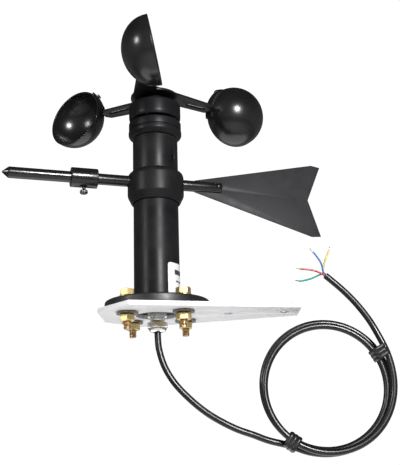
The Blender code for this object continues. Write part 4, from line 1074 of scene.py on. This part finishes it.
    def printed(self, material: bpy.types.Material, base: float) -> bpy.types.Material:
        """Print three plain bars on the label.

        Args:
            material: the label's own material.
            base: the label's lower edge.

        Returns:
            The same material with the bars in its colour.
        """
        material.name = "printed_label"
        nodes, links = material.node_tree.nodes, material.node_tree.links
        place, split = nodes.new("ShaderNodeTexCoord"), nodes.new("ShaderNodeSeparateXYZ")
        links.new(place.outputs["Object"], split.inputs["Vector"])
        shader = nodes["Principled BSDF"]
        colour = shader.inputs["Base Color"].links[0].from_socket
        for height, half, start in self.bars:
            band, side = nodes.new("ShaderNodeMath"), nodes.new("ShaderNodeMath")
            band.operation, side.operation = "COMPARE", "GREATER_THAN"
            band.inputs[1].default_value, band.inputs[2].default_value = base + height, half
            side.inputs[1].default_value = self.shop.radius("lower_tube") * self.bar_start + start
            both, mix = nodes.new("ShaderNodeMath"), Finish.mix(nodes, (0.8, 0.8, 0.8), self.ink)
            both.operation = "MULTIPLY"
            links.new(split.outputs["Z"], band.inputs[0])
            links.new(split.outputs["Y"], side.inputs[0])
            links.new(band.outputs[0], both.inputs[0])
            links.new(side.outputs[0], both.inputs[1])
            links.new(both.outputs[0], mix.inputs["Factor"])
            links.new(colour, mix.inputs[MIX_FIRST])
            colour = mix.outputs[MIX_RESULT]
        links.new(colour, shader.inputs["Base Color"])
        return material


@dataclass
class Bracket:
    """The mast bracket with the four bolts that carry the flange."""

    shop: Workshop
    pitch: float = 0.0010
    head_mark: float = 0.0003
    shank_radius: float = 0.0029
    bore: float = 0.0031
    turned_in: float = 17.0

    def build(self) -> None:
        """Make the plate and the four sets of fasteners."""
        shop = self.shop
        shop.piece("mast_bracket", softened("bracket_plate", 0.00045, 3), PLATE_PAINT, Body.COLUMN,
                   ["bracket_plate"])
        axis = shop.column.translation
        bolt = (shop.low("flange_bolt_3") + shop.high("flange_bolt_3")) / 2
        reach = math.hypot(bolt.x - axis.x, bolt.y - axis.y)
        start = math.degrees(math.atan2(bolt.y - axis.y, bolt.x - axis.x))
        out = Matrix.Translation((reach, 0, 0)) @ Matrix.Rotation(math.radians(self.turned_in), 4, "Z")
        sets = [("flange_bolts", self.bolt(), YELLOW_ZINC, "flange_bolt"),
                ("flange_nuts", self.nut(), YELLOW_ZINC, "flange_nut"),
                # the washers under the plate take the zinc darkened as painted shade
                ("flange_washers", self.washer("flange_washer_1"), PAINTED_SHADE_ZINC, "flange_washer"),
                ("head_washers", self.washer("head_washer_1"), YELLOW_ZINC, "head_washer"),
                ("bolt_threads", self.shank(), RUSTY_THREAD, "")]
        for name, mesh, finish, node in sets:
            copies = shop.trees.copies_of(placed(mesh, out), 4, start, finish.material(shop.groups))
            nodes = [f"{node}_{number}" for number in range(1, 5)] if node else []
            shop.piece(name, copies, finish, Body.COLUMN, nodes, shop.column)

    def bolt(self) -> bpy.types.Mesh:
        """Return a bolt's head, dished on top, with the plain top of its shank."""
        shop = self.shop
        top, under = shop.high("flange_bolt_1").z, shop.high("head_washer_1").z + GAP
        across = shop.high("flange_bolt_1").y - shop.low("flange_bolt_1").y
        head = hexagonal("bolt_head", across, under, top, 0.00001, (False, True))
        dish = turned("dish", [(0.0, top + 0.001), (0.0034, top + 0.001), (0.0034, top - 0.0001),
                               (0.0028, top - self.head_mark), (0.0, top - self.head_mark)], 32,
                      closed=False)
        shank = cylinder("shank", self.shank_radius, under + 0.0005, under - 0.0050)
        return merged("bolt", cut(head, dish), shank)

    def nut(self) -> bpy.types.Mesh:
        """Return a nut with chamfered corners and a plain bore."""
        shop = self.shop
        across = shop.high("flange_nut_1").y - shop.low("flange_nut_1").y
        return hexagonal("nut", across, shop.low("flange_nut_1").z, shop.high("flange_nut_1").z, self.bore)

    def washer(self, node: str) -> bpy.types.Mesh:
        """Make a washer with softly stamped edges.

        Args:
            node: the frame node that gives its size.

        Returns:
            The washer.
        """
        rim, low, high = self.shop.radius(node), self.shop.low(node).z, self.shop.high(node).z
        section = [(self.bore, high, 0.0002), (rim, high, 0.0005), (rim, low, 0.0002),
                   (self.bore, low, 0.0002)]
        return turned("washer", rounded(section), 64)

    def shank(self) -> bpy.types.Mesh:
        """Return a bolt's threaded shank with its pointed end."""
        shop = self.shop
        low, high = shop.low("flange_bolt_1").z, shop.high("base_flange").z - 0.002
        section = rounded([(0.0, high, 0), (0.0025, high, 0), (0.0025, low, 0.0006), (0.0, low, 0)])
        core = turned("core", section, 32, closed=False)
        ridge = shop.trees.thread_ridge(0.00252, high - low - 0.0022, self.pitch,
                                        RUSTY_THREAD.material(shop.groups))
        return merged("shank", core, placed(ridge, Matrix.Translation((0, 0, low + 0.0009))))


@dataclass
class Gland:
    """The nickel gland that the cable leaves by."""

    shop: Workshop
    pitch: float = 0.0012
    thread_depth: float = 0.0009
    bore: float = 0.0030
    across: float = 0.0143
    hex_height: float = 0.0052
    skirt: float = 0.0033

    def build(self) -> None:
        """Make the gland's body, nut and thread, and dress its seal."""
        shop = self.shop
        thread = shop.radius("gland_seal") + self.thread_depth
        bore, inner = self.bore, thread - self.thread_depth
        hex_top, top = shop.low("base_flange").z - GAP, shop.high("gland_body").z
        nut_across = shop.high("gland_nut").y - shop.low("gland_nut").y
        hex_base = hex_top - self.hex_height
        nut_top, nut_base = shop.high("gland_nut").z, shop.low("gland_nut").z
        stem_base = shop.high("gland_seal").z + GAP
        crest = thread - 0.0003
        section = rounded([(bore, top, 0.0003), (crest, top, 0.0004), (crest, hex_top - 0.001, 0),
                           (inner, hex_base, 0), (inner, stem_base, 0.0003), (bore, stem_base, 0.0002)])
        stem = turned("stem", section, 64)
        collar = hexagonal("collar", self.across, hex_base, hex_top, bore + 0.0005)
        ridge = shop.trees.thread_ridge(inner + 0.0001, hex_base - nut_top + 0.0020, self.pitch,
                                        NICKEL.material(shop.groups))
        ridge = placed(ridge, Matrix.Translation((0, 0, nut_top - 0.0010)))
        shop.piece("gland_collar", merged("gland", stem, collar, ridge), NICKEL, Body.COLUMN, ["gland_body"],
                   shop.column)

        mouth, dome = bore + 0.0004, nut_base + self.skirt
        nut = hexagonal("nut", nut_across, dome, nut_top, thread - 0.0006)
        flat = nut_across / 2
        cap = [(thread - 0.0006, dome + 0.0010), (0.96 * flat, dome + 0.0010), (0.955 * flat, dome)]
        reach, fall = 0.94 * flat - mouth, dome - nut_base
        dome_turns = [math.radians(15 * k) for k in range(7)]
        cap += [(mouth + reach * math.cos(t), dome - fall * math.sin(t)) for t in dome_turns]
        cap += [(mouth, nut_base + 0.0010), (thread - 0.0006, nut_base + 0.0012)]
        shop.piece("gland_dome_nut", merged("gland_nut", nut, turned("cap", cap, 72)), NICKEL, Body.COLUMN,
                   ["gland_nut"], shop.column)
        shop.dress(SEAL_RUBBER, "gland_seal")


@dataclass
class Vane:
    """The turning hub with its pointed rod, counterweight, slotted rod and fin."""

    shop: Workshop
    knurls: int = 22
    hub_neck: float = 0.0116
    sleeve_wall: float = 0.0033
    screw_head: float = 0.0029
    head_height: float = 0.0028
    slot: tuple[float, float, float] = (0.026, 0.0014, 0.02)
    rod: float = field(init=False)

    def __post_init__(self) -> None:
        """Read the rods' radius from the frame."""
        self.rod = (self.shop.high("vane_rod_front").z - self.shop.low("vane_rod_front").z) / 2

    def build(self) -> None:
        """Make and dress every piece that turns with the vane."""
        self.hub()
        self.front_rod()
        self.counterweight()
        self.tail()
        self.shop.dress(GROUND_STEEL, "vane_bearing")
        self.shop.dress(SINTERED, "vane_magnet_ring")

    def hub(self) -> None:
        """The hub: a rounded shoulder above, a chamfered lip below and a bored inside."""
        shop = self.shop
        rim, low, high = shop.radius("vane_hub"), shop.low("vane_hub").z, shop.high("vane_hub").z
        skirt, ceiling, neck = shop.radius("lower_tube") + 2 * GAP, high - 0.0023, self.hub_neck
        seat_low, seat_top = shop.low("vane_bearing").z, shop.high("vane_bearing").z + GAP
        seat, web = shop.radius("vane_bearing") + GAP, shop.radius("vane_magnet_ring") + GAP
        section = rounded([(neck, high, 0.0003), (rim - 0.0030, high, 0.0006),
                           (rim - 0.0009, high - 0.0009, 0.0012), (rim, high - 0.0032, 0.0016),
                           (rim, low + 0.0063, 0.0010), (skirt + 0.0010, low, 0.0004), (skirt, low, 0.0002),
                           (skirt, seat_low, 0),
                           (seat, seat_low, 0), (seat, seat_top, 0), (web, seat_top, 0), (web, ceiling, 0),
                           (neck, ceiling, 0)])
        mesh = placed(turned("vane_hub", section, 144), shop.column)
        for turn in (0.0, math.pi):
            drill = cylinder("drill", self.rod + 0.00012, 0.030, 0.0152, 48)
            place = shop.rods @ Matrix.Rotation(turn, 4, "Z") @ Matrix.Rotation(math.pi / 2, 4, "Y")
            mesh = cut(mesh, placed(drill, place))
        shop.piece("vane_hub_shell", mesh, SMOOTH_BLACK, Body.VANE, ["vane_hub"])

    def reach(self, node: str) -> tuple[float, float]:
        """Measure where a node lies along the rods.

        Args:
            node: the frame node.

        Returns:
            Where it starts and ends, counted from the column's axis towards the fin.
        """
        across = self.shop.rods.inverted()
        along = [(across @ vertex.co).x for vertex in self.shop.frame["nodes"][node].data.vertices]
        return min(along), max(along)

    def front_rod(self) -> None:
        """The front rod with its turned point."""
        far, near = self.reach("vane_rod_front")
        section = rounded([(0.0, -far, 0), (0.0007, -far - 0.0003, 0.0004),
                           (self.rod, -far - 0.0050, 0.0007), (self.rod, -near, 0.0003), (0.0, -near, 0)])
        lie = self.shop.rods @ Matrix.Rotation(-math.pi / 2, 4, "Y")
        self.shop.piece("front_rod", turned("front_rod", section, 48, closed=False), ROD_BLACK, Body.VANE,
                        ["vane_rod_front"], lie)

    def counterweight(self) -> None:
        """The sliding sleeve and the knurled thumb screw that clamps it."""
        shop = self.shop
        far, near = self.reach("counterweight_sleeve")
        rim = self.rod + self.sleeve_wall
        section = rounded([(self.rod + 0.0002, -far, 0.0002), (rim, -far, 0.0006), (rim, -near, 0.0006),
                           (self.rod + 0.0002, -near, 0.0002)])
        sleeve = placed(turned("sleeve", section, 64), shop.rods @ Matrix.Rotation(-math.pi / 2, 4, "Y"))
        low, high = shop.low("thumb_screw"), shop.high("thumb_screw")
        stand = Matrix.Translation(((low.x + high.x) / 2, (low.y + high.y) / 2, 0))
        drill = cylinder("drill", 0.0017, high.z, low.z)
        shop.piece("counterweight", cut(sleeve, placed(drill, stand)), ROD_BLACK, Body.COUNTERWEIGHT,
                   ["counterweight_sleeve"])
        head_top, head = low.z + self.head_height, self.screw_head
        section = rounded([(0.0, high.z, 0), (0.0012, high.z, 0.0002), (0.0012, head_top + 0.0004, 0),
                           (0.0019, head_top + 0.0003, 0.0002),
                           (0.0019, head_top, 0), (head, head_top, 0.0004), (head, low.z, 0.0004),
                           (0.0, low.z, 0)], 3)
        tooth = rounded([(0.0, head_top - 0.0004, 0), (0.00026, head_top - 0.0006, 0),
                         (0.00026, low.z + 0.0006, 0), (0.0, low.z + 0.0004, 0)])
        rib = turned("rib", tooth, 8, closed=False)
        material = BLACK_OXIDE.material(shop.groups)
        knurl = shop.trees.copies_of(placed(rib, Matrix.Translation((head - 0.00003, 0, 0))), self.knurls,
                                     0.0, material)
        ridge = placed(shop.trees.thread_ridge(0.00118, high.z - head_top - 0.0014, 0.0006, material),
                       Matrix.Translation((0, 0, head_top + 0.0008)))
        screw = merged("screw", turned("screw", section, 48, closed=False), knurl, ridge)
        shop.piece("thumb_screw_knurled", screw, BLACK_OXIDE, Body.THUMB_SCREW, ["thumb_screw"], stand)

    def tail(self) -> None:
        """The slotted rear rod, the fin in its slot and the rivet."""
        shop = self.shop
        near, far = self.reach("vane_rod_rear")
        section = rounded([(0.0, far, 0), (self.rod, far, 0.0009), (self.rod, near, 0.0003), (0.0, near, 0)])
        rod = placed(turned("rear_rod", section, 48, closed=False),
                     shop.rods @ Matrix.Rotation(math.pi / 2, 4, "Y"))
        slot = block("slot", Matrix.Translation((far - 0.011, 0, 0)) @ Matrix.Diagonal((*self.slot, 1)))
        shop.piece("rear_rod", cut(rod, placed(slot, shop.rods)), ROD_BLACK, Body.VANE, ["vane_rod_rear"])
        shop.piece("tail_fin_sheet", softened("tail_fin", 0.00022, 2), SHEET_BLACK, Body.VANE, ["tail_fin"])
        half = self.rod + 0.0010
        section = rounded([(0.0, half, 0), (0.0011, half, 0.0004), (0.0023, self.rod + 0.0001, 0.0002),
                           (0.0012, self.rod + 0.0001, 0),
                           (0.0012, -self.rod - 0.0001, 0), (0.0023, -self.rod - 0.0001, 0.0002),
                           (0.0011, -half, 0.0004), (0.0, -half, 0)], 3)
        place = shop.rods @ Matrix.Translation((far - 0.0034, 0, 0)) @ Matrix.Rotation(math.pi / 2, 4, "X")
        shop.piece("fin_rivet_domed", turned("rivet", section, 32, closed=False), BLACK_OXIDE, Body.VANE,
                   ["fin_rivet"], place)


@dataclass
class Rotor:
    """The hub, the three-arm plate, the cups with their screws, and the shaft's cap nut."""

    shop: Workshop
    cup_radius: float = 0.0261
    cup_depth: float = 0.0246
    cup_wall: float = 0.0010
    cup_reach: float = 0.0798
    cup_rise: float = 0.0017
    tilt: float = 9.8
    toe: float = 7.05
    screw_angles: tuple[float, float] = (10.0, 42.0)
    screw_depth: float = 0.0047
    recess: tuple[float, float, float] = (0.0026, 0.00055, 0.0014)
    bead: float = 0.00075
    dome_steps: int = 40
    plate_thick: float = 0.0018

    def build(self) -> None:
        """Make and dress every piece that turns with the rotor."""
        shop = self.shop
        self.hub()
        shop.piece("arm_plate", softened("rotor_spider", 0.00025, 2), SMOOTH_BLACK, Body.ROTOR,
                   ["rotor_spider"])
        shop.piece("cap_nut", softened("rotor_cap_nut", 0.0003, 3), BLACK_OXIDE, Body.ROTOR,
                   ["rotor_cap_nut"])
        self.cups()
        self.screws()
        shop.dress(GROUND_STEEL, "rotor_shaft")
        shop.dress(SINTERED, "rotor_magnet")

    def hub(self) -> None:
        """The hub skirt with its rounded top, its boss and the recess over the bearing collar."""
        shop = self.shop
        rim, low, high = shop.radius("rotor_hub"), shop.low("rotor_hub").z, shop.high("rotor_hub").z
        top, boss, bore = high - 0.0059, 0.0110, 0.0043
        cavity, ceiling = 0.0159, shop.high("bearing_housing").z + 0.0012
        section = rounded([(bore, high, 0), (boss, high, 0.0004), (boss, top, 0.0006), (rim, top, 0.0020),
                           (rim, low + 0.0028, 0.0008), (rim - 0.0007, low, 0.0004),
                           (rim - 0.0016, low, 0.0002), (cavity + 0.0008, low + 0.0020, 0),
                           (cavity, low + 0.0024, 0), (cavity, ceiling, 0), (bore, ceiling, 0)])
        shop.piece("rotor_hub_shell", turned("rotor_hub", section, 144), SMOOTH_BLACK, Body.ROTOR,
                   ["rotor_hub"], shop.column)

    @property
    def cup(self) -> Matrix:
        """Return a cup's place on the first arm: mouth along local Z, rotor axis on the local -X side."""
        centre = self.shop.low("rotor_cap_nut").z - GAP - self.plate_thick + self.cup_rise
        turn = Matrix.Rotation(math.radians(-self.toe), 4, "Z")
        tilt = Matrix.Rotation(math.radians(self.tilt - 90.0), 4, "X")
        return Matrix.Translation((self.cup_reach, 0, centre)) @ turn @ tilt

    def cups(self) -> None:
        """The cups: thin domes whose rims are rolled to a fine bead."""
        shop = self.shop
        outer, depth, wall = self.cup_radius - 0.0002, self.cup_depth, self.cup_wall
        inner, steps = outer - wall, self.dome_steps
        turns = [math.radians(88.5 * k / steps) for k in range(steps + 1)]
        section = [(inner * math.cos(t),
                    -0.0011 - (depth - wall - 0.0011) * math.sin(t)) for t in reversed(turns)]
        section[0] = (0.0, -(depth - wall))
        bead = self.cup_radius - self.bead
        rolled = [math.radians(150 - 20 * k) for k in range(10)]
        section += [(bead + self.bead * math.cos(t), -self.bead + self.bead * math.sin(t)) for t in rolled]
        section += [(outer * math.cos(t), -0.0016 - (depth - 0.0016) * math.sin(t)) for t in turns]
        section[-1] = (0.0, -depth)
        dome = turned("cup", section, 128, closed=False)
        for number in range(3):
            turn = Matrix.Rotation(math.radians(120 * number), 4, "Z")
            shop.piece(f"wind_cup_{number + 1}", dome.copy(), MOULDED_BLACK, Body.ROTOR,
                       [f"cup_{number + 1}"], shop.rotor @ turn @ self.cup)

    def screws(self) -> None:
        """The six cross-recessed screws, two on each arm's tab, with their ends inside the cups."""
        shop = self.shop
        under, rise, head, shank = 0.0020, 0.0013, 0.0023, 0.0011
        section = rounded([(0.0, under + rise, 0), (0.0014, under + rise, 0.0006),
                           (head, under + 0.0004, 0.0003), (head, under, 0),
                           (shank, under, 0), (shank, -0.0022, 0.0002), (0.0, -0.0022, 0)], 3)
        screw = turned("cup_screw", section, 32, closed=False)
        for turn in (0.0, math.pi / 2):
            top = Matrix.Translation((0, 0, under + rise)) @ Matrix.Rotation(turn, 4, "Z")
            screw = cut(screw, block("blade", top @ Matrix.Diagonal((*self.recess, 1))))
        radius = self.cup_radius * math.sqrt(1 - (self.screw_depth / self.cup_depth) ** 2)
        slope = math.atan2(self.cup_radius * self.screw_depth / self.cup_depth ** 2,
                           radius / self.cup_radius)
        lean = Matrix.Rotation(math.pi / 2 + slope, 4, "Y")
        both = []
        for angle in self.screw_angles:
            turn = Matrix.Rotation(math.radians(180 + angle), 4, "Z")
            seat = Matrix.Translation((radius, 0, -self.screw_depth)) @ lean
            both.append(placed(screw, self.cup @ turn @ seat))
        copies = shop.trees.copies_of(merged("screws", *both), 3, 0.0, BLACK_OXIDE.material(shop.groups))
        shop.piece("cup_screws", copies, BLACK_OXIDE, Body.ROTOR, [f"cup_screw_{k}" for k in range(1, 7)],
                   shop.rotor)


@dataclass
class Cable:
    """The cable: its lead, nearly two and a half turns tied in a coil, the tail and the four stripped wires.

    Routes are given as distance from the column axis and height above the bracket's top face.
    """

    shop: Workshop
    diameter: float = 0.0050
    centre: tuple[float, float] = (0.1243, -0.0599)
    turn_radius: float = 0.0464
    swing: float = 0.0017
    layer: float = 0.0053
    first_angle: float = -125.0
    last_angle: float = 750.0
    swing_phase: float = 80.0
    join: float = 0.0038
    join_fade: float = 22.0
    wire_diameter: float = 0.0014
    bare: float = 0.0030
    wire_step: float = 0.0006
    strand: float = 0.0004
    tie_half: float = 0.0046
    tie_wide: float = 0.0058
    tie_deep: float = 0.0082
    tie_out: float = 0.0014
    tie_angles: tuple[float, float] = (-125.0, 30.0)
    lead: tuple = ((0.0000, 0.0045), (0.0000, -0.0100), (0.0001, -0.0190), (0.0010, -0.0290),
                   (0.0050, -0.0420),
                   (0.0125, -0.0545), (0.0232, -0.0661), (0.0346, -0.0758), (0.0462, -0.0832),
                   (0.0576, -0.0889), (0.0691, -0.0931), (0.0804, -0.0974))
    tail: tuple = ((0.1629, -0.0188), (0.1575, -0.0083), (0.1499, 0.0029), (0.1410, 0.0132),
                   (0.1296, 0.0241))
    fan: dict = field(default_factory=lambda: {
        "wire_blue": (1, -1, (0.025, 0.14, 0.42),
                      ((0.1266, -0.0018, 0.0337), (0.1222, -0.0026, 0.0409), (0.1185, -0.0030, 0.0452))),
        "wire_yellow": (1, 1, (0.58, 0.47, 0.04),
                        ((0.1299, 0.0016, 0.0349), (0.1334, 0.0022, 0.0431), (0.1350, 0.0024, 0.0474))),
        "wire_red": (-1, -1, (0.45, 0.025, 0.03),
                     ((0.1203, -0.0018, 0.0280), (0.1122, -0.0026, 0.0291), (0.1070, -0.0030, 0.0297))),
        "wire_green": (-1, 1, (0.010, 0.34, 0.26),
                       ((0.1187, 0.0018, 0.0224), (0.1110, 0.0028, 0.0210), (0.1065, 0.0034, 0.0218))),
    })

    def place(self, out: float, depth: float, height: float) -> Vector:
        """Return a point of the route in the frame's own axes.

        Args:
            out: its distance from the column's axis.
            depth: its distance behind the axis.
            height: its height above the bracket's top face.

        Returns:
            The point.
        """
        axis = self.shop.column.translation
        return Vector((axis.x + out, axis.y + depth, self.shop.high("bracket_plate").z + height))

    def coil(self) -> list[tuple[float, float, float]]:
        """Return the coil's points: turns that lie beside each other and wander in and out a little."""
        points = []
        sweep = self.last_angle - self.first_angle
        steps = round(sweep / 15)
        shared = sweep % 360
        for step in range(steps + 1):
            travelled = sweep * step / steps
            laps, part = divmod(travelled, 360.0)
            ease = min(max((part - shared) / (360.0 - shared), 0.0), 1.0)
            depth = self.layer * (1.0 - laps - ease * ease * (3 - 2 * ease))
            radius = self.turn_radius + self.swing * math.cos(math.radians(travelled / 2 - self.swing_phase))
            joining = math.exp(-travelled / self.join_fade) + math.exp((travelled - sweep) / self.join_fade)
            radius += self.join * joining
            angle = math.radians(self.first_angle + travelled)
            points.append((self.centre[0] + radius * math.cos(angle), depth,
                           self.centre[1] + radius * math.sin(angle)))
        return points

    def build(self) -> None:
        shop = self.shop
        coil = self.coil()
        depths = [0.0] * (len(self.lead) - 3) + [0.0006, 0.0020, 0.0038]
        route = [(out, depth, height) for (out, height), depth in zip(self.lead, depths)] + coil
        tail_depths = (-0.0042, -0.0026, -0.0012, -0.0003, 0.0)
        route += [(out, depth, height) for (out, height), depth in zip(self.tail, tail_depths)]
        path = smooth_path([self.place(*point) for point in route], 0.0025)
        radius = self.diameter / 2
        cable = shop.piece("signal_cable", swept("cable", path, lambda share: radius, 24), SHEATH,
                           Body.COLUMN, ["cable_lead", "cable_coil", "cable_tail"])
        extras = [*(self.tie(number, angle) for number, angle in enumerate(self.tie_angles, 1)),
                  *self.wires(path)]
        leave = self.place(0.0, 0.0, 0.0)
        leave.z = shop.low("gland_nut").z
        LOG.info("cable is %.3f m long", path_length(path))

    def tie(self, number: int, angle: float) -> bpy.types.Object:
        """Make one tie: a band of three ridges squeezed round the bundle.

        Args:
            number: its number.
            angle: where it is round the coil, in degrees.

        Returns:
            The tie.
        """
        wide, deep = self.tie_wide, self.tie_deep
        ridges = [(self.tie_half * (k / 12 - 1),
                   0.0002 + 0.0005 * abs(math.sin(math.pi * k / 8))) for k in range(25)]

        def section(turn: float) -> Section:
            """Return the band's section in the direction of an angle."""
            squareness = (abs(math.cos(turn) / wide) ** 4 + abs(math.sin(turn) / deep) ** 4) ** -0.25
            inner = [(squareness - 0.0003, height) for height, _ in reversed(ridges)]
            return [*[(squareness + lift, height) for height, lift in ridges], *inner]

        centre = self.place(self.centre[0], 0.0, self.centre[1])
        round_coil = Matrix.Rotation(math.radians(-angle), 4, "Y")
        outward = Matrix.Translation((self.turn_radius + self.tie_out, 0, 0))
        place = Matrix.Translation(centre) @ (round_coil @ outward)
        band = turned("tie", section, 72)
        return self.shop.piece(f"coil_tie_{number}", band, TIE_NYLON, Body.COLUMN, [f"cable_tie_{number}"],
                               place)

    def wires(self, path: Sequence[Vector]) -> list[bpy.types.Object]:
        """Make the four wires that fan out of the cable's end, each with its bare tinned tip.

        Args:
            path: the cable's centreline.

        Returns:
            The wires and their tips.
        """
        end, ahead = path[-1], (path[-1] - path[-3]).normalized()
        sideways = Vector((ahead.z, 0.0, -ahead.x))
        made = []
        for name, (side, depth, tone, fan) in self.fan.items():
            start = end + 0.0009 * (side * sideways + Vector((0, depth, 0)))
            knots = [start - ahead * 0.001, start + ahead * 2 * self.wire_diameter,
                     *[self.place(*point) for point in fan]]
            route = smooth_path(knots, self.wire_step)
            bare = round(self.bare / self.wire_step)
            insulated, tip = route[:-bare], route[-bare - 3:]
            radius = self.wire_diameter / 2
            sleeve = swept(name, insulated, lambda share: radius, 16)
            finish = insulation(name.replace("wire_", "") + "_wire", tone)
            made.append(self.shop.piece(f"{name}_sleeve", sleeve, finish, Body.COLUMN, [name]))
            strand = swept(name, tip, lambda share: self.strand * (1.0 - 0.5 * share ** 6), 12)
            made.append(self.shop.piece(f"{name}_tip", strand, TINNED_TIP, Body.COLUMN))
        return made


# ---------------------------------------------------------------- camera, floor and light
@dataclass(frozen=True)
class Lamp:
    """A round area lamp that looks at the object.

    Attributes:
        name: its name.
        azimuth: degrees to the right of the camera, seen from the object.
        elevation: degrees above the horizon.
        distance: distance from its target.
        size: diameter.
        power: in watts.
    """

    name: str
    azimuth: float
    elevation: float
    distance: float
    size: float
    power: float

    def build(self, target: Vector) -> None:
        """Put the lamp in the scene.

        Args:
            target: the point it looks at.
        """
        turn, rise = math.radians(self.azimuth), math.radians(self.elevation)
        back = Vector((math.sin(turn) * math.cos(rise), -math.cos(turn) * math.cos(rise), math.sin(rise)))
        data = bpy.data.lights.new(self.name, "AREA")
        data.shape, data.size, data.energy = "DISK", self.size, self.power
        lamp = bpy.data.objects.new(self.name, data)
        bpy.context.scene.collection.objects.link(lamp)
        lamp.location = target + back * self.distance
        lamp.rotation_euler = (-back).to_track_quat("-Z", "Y").to_euler()
        LOG.info("%s: %.1f W", self.name, self.power)


@dataclass
class Studio:
    """The camera at the object's foot, the pale floor and the soft lamps."""

    eye: tuple[float, float, float] = (-0.03573, -0.60542, -0.10956)
    heading: float = 90.526
    pitch: float = 16.079
    roll: float = -1.655
    lens: float = 62.34
    floor_height: float = -0.9000
    floor_size: float = 3.0
    floor_glow: float = 0.62
    backdrop: float = 1.05
    fade_heights: tuple[float, float] = (-0.2, 0.75)
    fade_strengths: tuple[float, float] = (0.34, 0.02)
    target: tuple[float, float, float] = (-0.06, 0.0, 0.09)
    lamps: tuple[Lamp, ...] = (
        Lamp("left_lamp", -54.0, 14.0, 1.6, 0.30, 8.0),
        Lamp("right_lamp", 22.0, 14.0, 1.6, 0.30, 36.0),
        Lamp("low_fill", 180.0, -66.0, 0.90, 1.6, 8.2),
    )

    def build(self) -> None:
        """Make the camera, floor, lamps and surroundings."""
        bpy.context.scene.view_settings.view_transform = "Standard"
        self.camera()
        self.floor()
        self.world()
        for lamp in self.lamps:
            lamp.build(Vector(self.target))

    def camera(self) -> None:
        """The camera, looking up at the cups from below the bracket."""
        heading, pitch, roll = (math.radians(angle) for angle in (self.heading, self.pitch, self.roll))
        forward = Vector((math.cos(heading) * math.cos(pitch), math.sin(heading) * math.cos(pitch),
                          math.sin(pitch)))
        right = Vector((math.sin(heading), -math.cos(heading), 0.0))
        up = right.cross(forward)
        turned_right = math.cos(roll) * right + math.sin(roll) * up
        turned_up = math.cos(roll) * up - math.sin(roll) * right
        data = bpy.data.cameras.new("studio_camera")
        data.lens, data.sensor_width, data.sensor_fit = self.lens, 36.0, "AUTO"
        data.clip_start, data.clip_end = 0.01, 20.0
        camera = bpy.data.objects.new("studio_camera", data)
        bpy.context.scene.collection.objects.link(camera)
        basis = Matrix((turned_right, turned_up, -forward)).transposed().to_4x4()
        camera.matrix_world = Matrix.Translation(self.eye) @ basis
        bpy.context.scene.camera = camera

    def floor(self) -> None:
        """A wide pale floor far below the cable, lit evenly for the eye alone."""
        mesh = bpy.data.meshes.new("floor")
        shape = bmesh.new()
        bmesh.ops.create_grid(shape, x_segments=1, y_segments=1, size=self.floor_size,
                              matrix=Matrix.Translation((0, 0, self.floor_height)))
        shape.to_mesh(mesh)
        shape.free()
        material = bpy.data.materials.new("pale_floor")
        material.use_nodes = True
        nodes, links = material.node_tree.nodes, material.node_tree.links
        shader = nodes["Principled BSDF"]
        shader.inputs["Base Color"].default_value = (0.90, 0.90, 0.90, 1.0)
        shader.inputs["Roughness"].default_value = 0.8
        shader.inputs["Emission Color"].default_value = (1.0, 1.0, 1.0, 1.0)
        seen, glow = nodes.new("ShaderNodeLightPath"), nodes.new("ShaderNodeMath")
        glow.operation, glow.inputs[1].default_value = "MULTIPLY", self.floor_glow
        links.new(seen.outputs["Is Camera Ray"], glow.inputs[0])
        links.new(glow.outputs[0], shader.inputs["Emission Strength"])
        mesh.materials.append(material)
        linked("floor", mesh)

    def world(self) -> None:
        """White surroundings that darken overhead, behind a backdrop that only the camera sees."""
        world = bpy.data.worlds.new("studio")
        world.use_nodes = True
        bpy.context.scene.world = world
        nodes, links = world.node_tree.nodes, world.node_tree.links
        backdrop = nodes["Background"]
        backdrop.inputs["Color"].default_value = (1.0, 1.0, 1.0, 1.0)
        backdrop.inputs["Strength"].default_value = self.backdrop
        place, split = nodes.new("ShaderNodeTexCoord"), nodes.new("ShaderNodeSeparateXYZ")
        fade = nodes.new("ShaderNodeMapRange")
        fade.inputs["From Min"].default_value, fade.inputs["From Max"].default_value = self.fade_heights
        fade.inputs["To Min"].default_value, fade.inputs["To Max"].default_value = self.fade_strengths
        surround, ray = nodes.new("ShaderNodeBackground"), nodes.new("ShaderNodeLightPath")
        mix = nodes.new("ShaderNodeMixShader")
        links.new(place.outputs["Generated"], split.inputs["Vector"])
        links.new(split.outputs["Z"], fade.inputs["Value"])
        links.new(fade.outputs["Result"], surround.inputs["Strength"])
        links.new(ray.outputs["Is Camera Ray"], mix.inputs["Fac"])
        links.new(surround.outputs["Background"], mix.inputs[1])
        links.new(backdrop.outputs["Background"], mix.inputs[2])
        links.new(mix.outputs["Shader"], nodes["World Output"].inputs["Surface"])


def main() -> None:
    """Build everything round the frame and keep its boxes."""
    logging.basicConfig(level=logging.INFO, format="%(message)s")
    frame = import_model()
    Studio().build()
    shop = Workshop(frame, ShaderGroups(), GeometryTrees())
    for assembly in (Cable(shop), Column(shop), Bracket(shop), Gland(shop), Vane(shop), Rotor(shop)):
        assembly.build()


if __name__ == "__main__":
    main()
